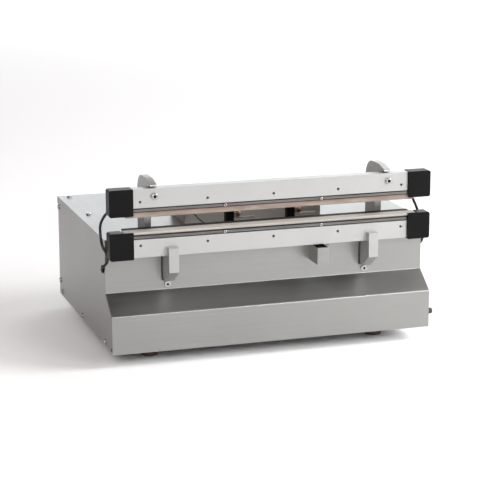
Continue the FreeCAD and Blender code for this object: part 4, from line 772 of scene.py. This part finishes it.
def ring_layout():
    """Copies on an arc about Z, each with its X axis pointing outward."""
    layout = Layout("copies_on_arc", (("Count", "Int"), ("Radius", "Float"), ("Start", "Float"),
                                      ("Sweep", "Float")))
    arc = layout.node("CurveArc", Resolution=layout.entry.outputs["Count"],
                      Radius=layout.entry.outputs["Radius"],
                      Start_Angle=layout.entry.outputs["Start"],
                      Sweep_Angle=layout.entry.outputs["Sweep"])
    points = layout.node("CurveToPoints", Curve=arc.outputs["Curve"])
    points.mode = "EVALUATED"
    position = layout.group.nodes.new("GeometryNodeInputPosition").outputs["Position"]
    return layout.finish(points.outputs["Points"], layout.turn("X", position))


def seats_at(places, toward):
    """A mesh with one tiny triangle for each seat."""
    across = Vector(toward).orthogonal().normalized() * 0.1 * mm
    other = Vector(toward).normalized().cross(across)
    thirds = [2 * math.pi * third / 3 for third in range(3)]
    form = bmesh.new()
    for place in places:
        form.faces.new([
            form.verts.new(Vector(place) + across * math.cos(turn) + other * math.sin(turn))
            for turn in thirds
        ])
    mesh = bpy.data.meshes.new("seats")
    form.to_mesh(mesh)
    form.free()
    return mesh


def all_round(count, radius):
    """The inputs of a ring layout whose copies go all the way round."""
    sweep = 2 * math.pi * (count - 1) / count
    return {"Count": count, "Radius": radius, "Start": 0.0, "Sweep": sweep}


def dome_screw(radius, height, socket, depth):
    """A button head with a hexagonal socket, standing on Z = 0."""
    rim = socket * 1.1
    profile = [(0, height - depth), (socket, height - depth), (socket, height - 0.1 * mm)]
    for step in range(6):
        angle = math.radians(90 - 15 * step)
        profile.append((rim + (radius - rim) * math.cos(angle), height * math.sin(angle)))
    profile.append((radius, 0))
    return meshed("dome_screw", lathe(profile, 48, 6, socket))


def socket_insert(radius, depth, socket):
    """A set screw seen from its socketed end, which sits at Z = 0 and runs down."""
    profile = ((0, -depth * 0.6), (socket, -depth * 0.6), (socket, -0.1 * mm), (socket * 1.08, 0),
               (radius * 0.9, 0), (radius, -0.2 * mm), (radius, -depth), (0, -depth))
    return meshed("socket_insert", lathe(profile, 36, 6, socket))


# Details

forward, backward, up = (0, -1, 0), (0, 1, 0), (0, 0, 1)
hole_pitch = 101.7 * mm
holes_each_side = 2
insert_recess = 2.2 * mm
# Name, bar, height of the holes above its underside in mm
bar_holes = (
    ("upper_bar_inserts", "upper_jaw_bar", 17.9),
    ("lower_bar_inserts", "lower_jaw_bar", 17.7),
)
# Node, its two screws' distance from the middle, their level, and the socket's radius, in mm
front_sockets = (
    ("post_bolts", 182, 251.5, 2.6),
    ("slot_screws", 156, 111.6, 2.1),
    ("upper_clamp_screws", 75, 231.7, 1.1),
    ("lower_clamp_screws", 75, 191.8, 1.1),
)
# Node, name, ribs, radius of their middle and their size, in mm
rear_ribs = (
    ("cord_gland", "gland_nut_ribs", 18, 9.9, (-0.6, -0.8, 1.2), (0.5, 0.8, 9), 0.25),
    ("fuse_holder", "fuse_cap_ribs", 20, 6.9, (-0.5, -0.5, 3), (0.35, 0.5, 10.5), 0.2),
)
dial_start, dial_sweep = math.radians(-45), math.radians(270)
dial_steps = 10
tick_radius, numeral_radius, numeral_size = in_mm(18.2, 23, 4.6)
knob_x, lamp_x, rocker_x = in_mm(52, 0, -60)
mark_shift, mark_size, mark_gap = in_mm(6.5, 5, 0.03)
# A roller's middle from its lever's left end and from its lever's top
roller_along, roller_below = in_mm(7.2, 4.6)
film_wire_route = (
    (-99, -81, 203), (-97, -86, 202), (-93, -96, 196), (-86, -106, 189), (-76, -110, 186.2),
    (-60, -112, 186), (-54, -112.5, 188),
)
roller_profile = (
    (0, -4.2), (3.6, -4.2), (4.1, -3.7), (4.1, -3.2), (3.5, -2.9),
    (3.5, 2.9), (4.1, 3.2), (4.1, 3.7), (3.6, 4.2), (0, 4.2),
)
bezel_profile = (
    (5.15, 0), (7.4, 0), (7.4, 0.8), (6.6, 1.5), (5.5, 1.5), (5.15, 1.1), (5.15, 0),
)


def add_bar_inserts(seated):
    for name, bar, rise in bar_holes:
        low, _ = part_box(bar)
        places = [(step * hole_pitch, low.y + insert_recess, low.z + rise * mm)
                  for step in range(-holes_each_side, holes_each_side + 1)]
        seated.build(name, socket_insert(*in_mm(1.9, 2.4, 0.95)), "blackened", body_of_node[bar],
                     "steel_hardware", seats_at(places, forward))


def add_socket_shades(seated):
    """Dark hexagonal discs on the floors of the sockets of the screws that face forward, as painted
    shade.
    """
    in_front = cad_low.y - 100 * mm
    for node, x, level, radius in front_sockets:
        surface = surface_of(node)
        places = []
        for side in (-1, 1):
            start = Vector((side * x * mm, in_front, level * mm))
            point = surface.ray_cast(start, Vector(backward))[0]
            if point is not None:
                places.append(point)
        profile = [in_mm(*corner) for corner in ((0, 0), (radius, 0), (radius, 0.08), (0, 0.08))]
        # Each disc is painted shade: a thin black hexagon laid where the socket is in shadow
        seated.build(f"{node}_socket_floors", meshed("shade", lathe(profile, 6)), "black",
                     body_of_node[node], "steel_hardware", seats_at(places, forward))


def add_console_screws(seated, low, high):
    level = high.z - 10.6 * mm
    middle, apart = (low.y + high.y) / 2, 24 * mm
    for hand, x, toward in (("left", low.x, (-1, 0, 0)), ("right", high.x, (1, 0, 0))):
        places = [(x, middle - apart, level), (x, middle + apart, level)]
        seated.build(f"console_screws_{hand}", dome_screw(*in_mm(3, 1.6, 1.2, 1.0)), "plating",
                     "root", "steel_hardware", seats_at(places, toward))


def add_knob_details(ring, knob):
    """Grip ribs round the knob's skirt and a pointer on its top."""
    rib = meshed("rib", block(in_mm(-0.8, -0.7, 0.4), in_mm(0.5, 0.7, 9.6), 0.3 * mm))
    ring.build("knob_ribs", rib, "black", "time_dial", "black_plastic",
               place=Matrix.Translation(knob + Vector(up) * 0.6 * mm), **all_round(30, 14.8 * mm))
    pointer = block(in_mm(-0.6, 4.5, 0), in_mm(0.6, 13.2, 0.25), 0.1 * mm)
    place = Matrix.Translation(knob + Vector(up) * 12.6 * mm)
    new_piece("knob_pointer", placed("pointer", pointer, place), "time_dial",
              finishes["marks"])


def add_dial(ring, knob):
    """Ticks round the knob from 0 to 10, and every second one's number."""
    tick = meshed("tick", block(in_mm(-1.4, -0.3, 0), in_mm(1.4, 0.3, 0.12), 0.04 * mm))
    ring.build("dial_ticks", tick, "marks", "root", "silicone", place=Matrix.Translation(knob),
               Count=dial_steps + 1, Radius=tick_radius, Start=dial_start, Sweep=dial_sweep)
    numerals = []
    for number in range(0, dial_steps + 1, 2):
        angle = dial_start + dial_sweep * (1 - number / dial_steps)
        place = knob + Vector((math.cos(angle), math.sin(angle), 0)) * numeral_radius
        place.z += 0.05 * mm
        numerals.append(lettering(str(number), numeral_size, Matrix.Translation(place)))
    new_piece("dial_numerals", joined(numerals), "root", finishes["marks"])


def add_lamp_bezel(lamp):
    bezel = lathe([in_mm(*corner) for corner in bezel_profile])
    new_piece("lamp_bezel", placed("bezel", bezel, Matrix.Translation(lamp), smooth=True), "root",
              finishes["plating"])


def add_rocker_marks(rocker):
    surface = surface_of("power_rocker")
    marks = []
    for text, shift in (("I", -mark_shift), ("O", mark_shift)):
        start = rocker + Vector((0, shift, 40 * mm))
        point, normal, _, _ = surface.ray_cast(start, -Vector(up))
        if point is not None:
            marks.append(lettering(text, mark_size, turned(point + normal * mark_gap, normal)))
    if marks:
        new_piece("rocker_marks", joined(marks), "rocker", finishes["marks"])


def add_console_details(seated, ring):
    low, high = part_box("control_console")
    depth = (low.y + high.y) / 2
    knob, lamp, rocker = (Vector((x, depth, high.z)) for x in (knob_x, lamp_x, rocker_x))
    add_console_screws(seated, low, high)
    add_knob_details(ring, knob)
    add_dial(ring, knob)
    add_lamp_bezel(lamp)
    add_rocker_marks(rocker)


def add_rear_details(ring):
    """Grip ribs on the cord gland's nut and the fuse holder's cap."""
    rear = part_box("rear_panel")[1].y
    for node, name, count, radius, low, high, edge in rear_ribs:
        middle = sum(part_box(node), Vector()) / 2
        rib = meshed("rib", block(in_mm(*low), in_mm(*high), edge * mm))
        ring.build(name, rib, "black", "root", "black_plastic",
                   place=turned((middle.x, rear, middle.z), backward),
                   **all_round(count, radius * mm))


def add_film_details():
    """The film switches' wire, and a roller on each lever's end."""
    wire = tube([in_mm(*point) for point in film_wire_route], 0.9 * mm)
    new_piece("film_switch_wire", wire, "root", finishes["lead"])
    for hand in ("left", "right"):
        low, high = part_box(f"film_lever_{hand}")
        centre = (low.x + roller_along, (low.y + high.y) / 2, high.z - roller_below)
        roller = lathe([in_mm(*corner) for corner in roller_profile], 32)
        new_piece(f"film_lever_roller_{hand}",
                  placed("roller", roller, turned(centre, backward), smooth=True),
                  f"{hand}_lever", finishes["copper"])


def add_hood_details(seated):
    """The trip hood's flange against the front panel, and the two rivets through it."""
    low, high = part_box("trip_hood")
    inset, thick, wide = 0.9 * mm, 1.1 * mm, 15 * mm
    flange = block((high.x, high.y - thick, low.z + inset),
                   (high.x + wide, high.y, high.z - inset), 0.3 * mm)
    new_piece("trip_hood_flanges", meshed("flange", flange), "root",
              finishes["sheet_along_x"])
    places = [(high.x + 12 * mm, high.y - thick, level)
              for level in (low.z + 6.2 * mm, high.z - 6.3 * mm)]
    seated.build("trip_hood_rivets", dome_screw(*in_mm(1.9, 0.9, 0.5, 0.3)), "plating", "root",
                 "steel_hardware", seats_at(places, forward))


def add_details():
    seated, ring = seat_layout(), ring_layout()
    add_bar_inserts(seated)
    add_socket_shades(seated)
    add_console_details(seated, ring)
    add_rear_details(ring)
    add_film_details()
    add_hood_details(seated)


make_camera()
make_studio()
dress_nodes()
soften_pieces()
add_details()
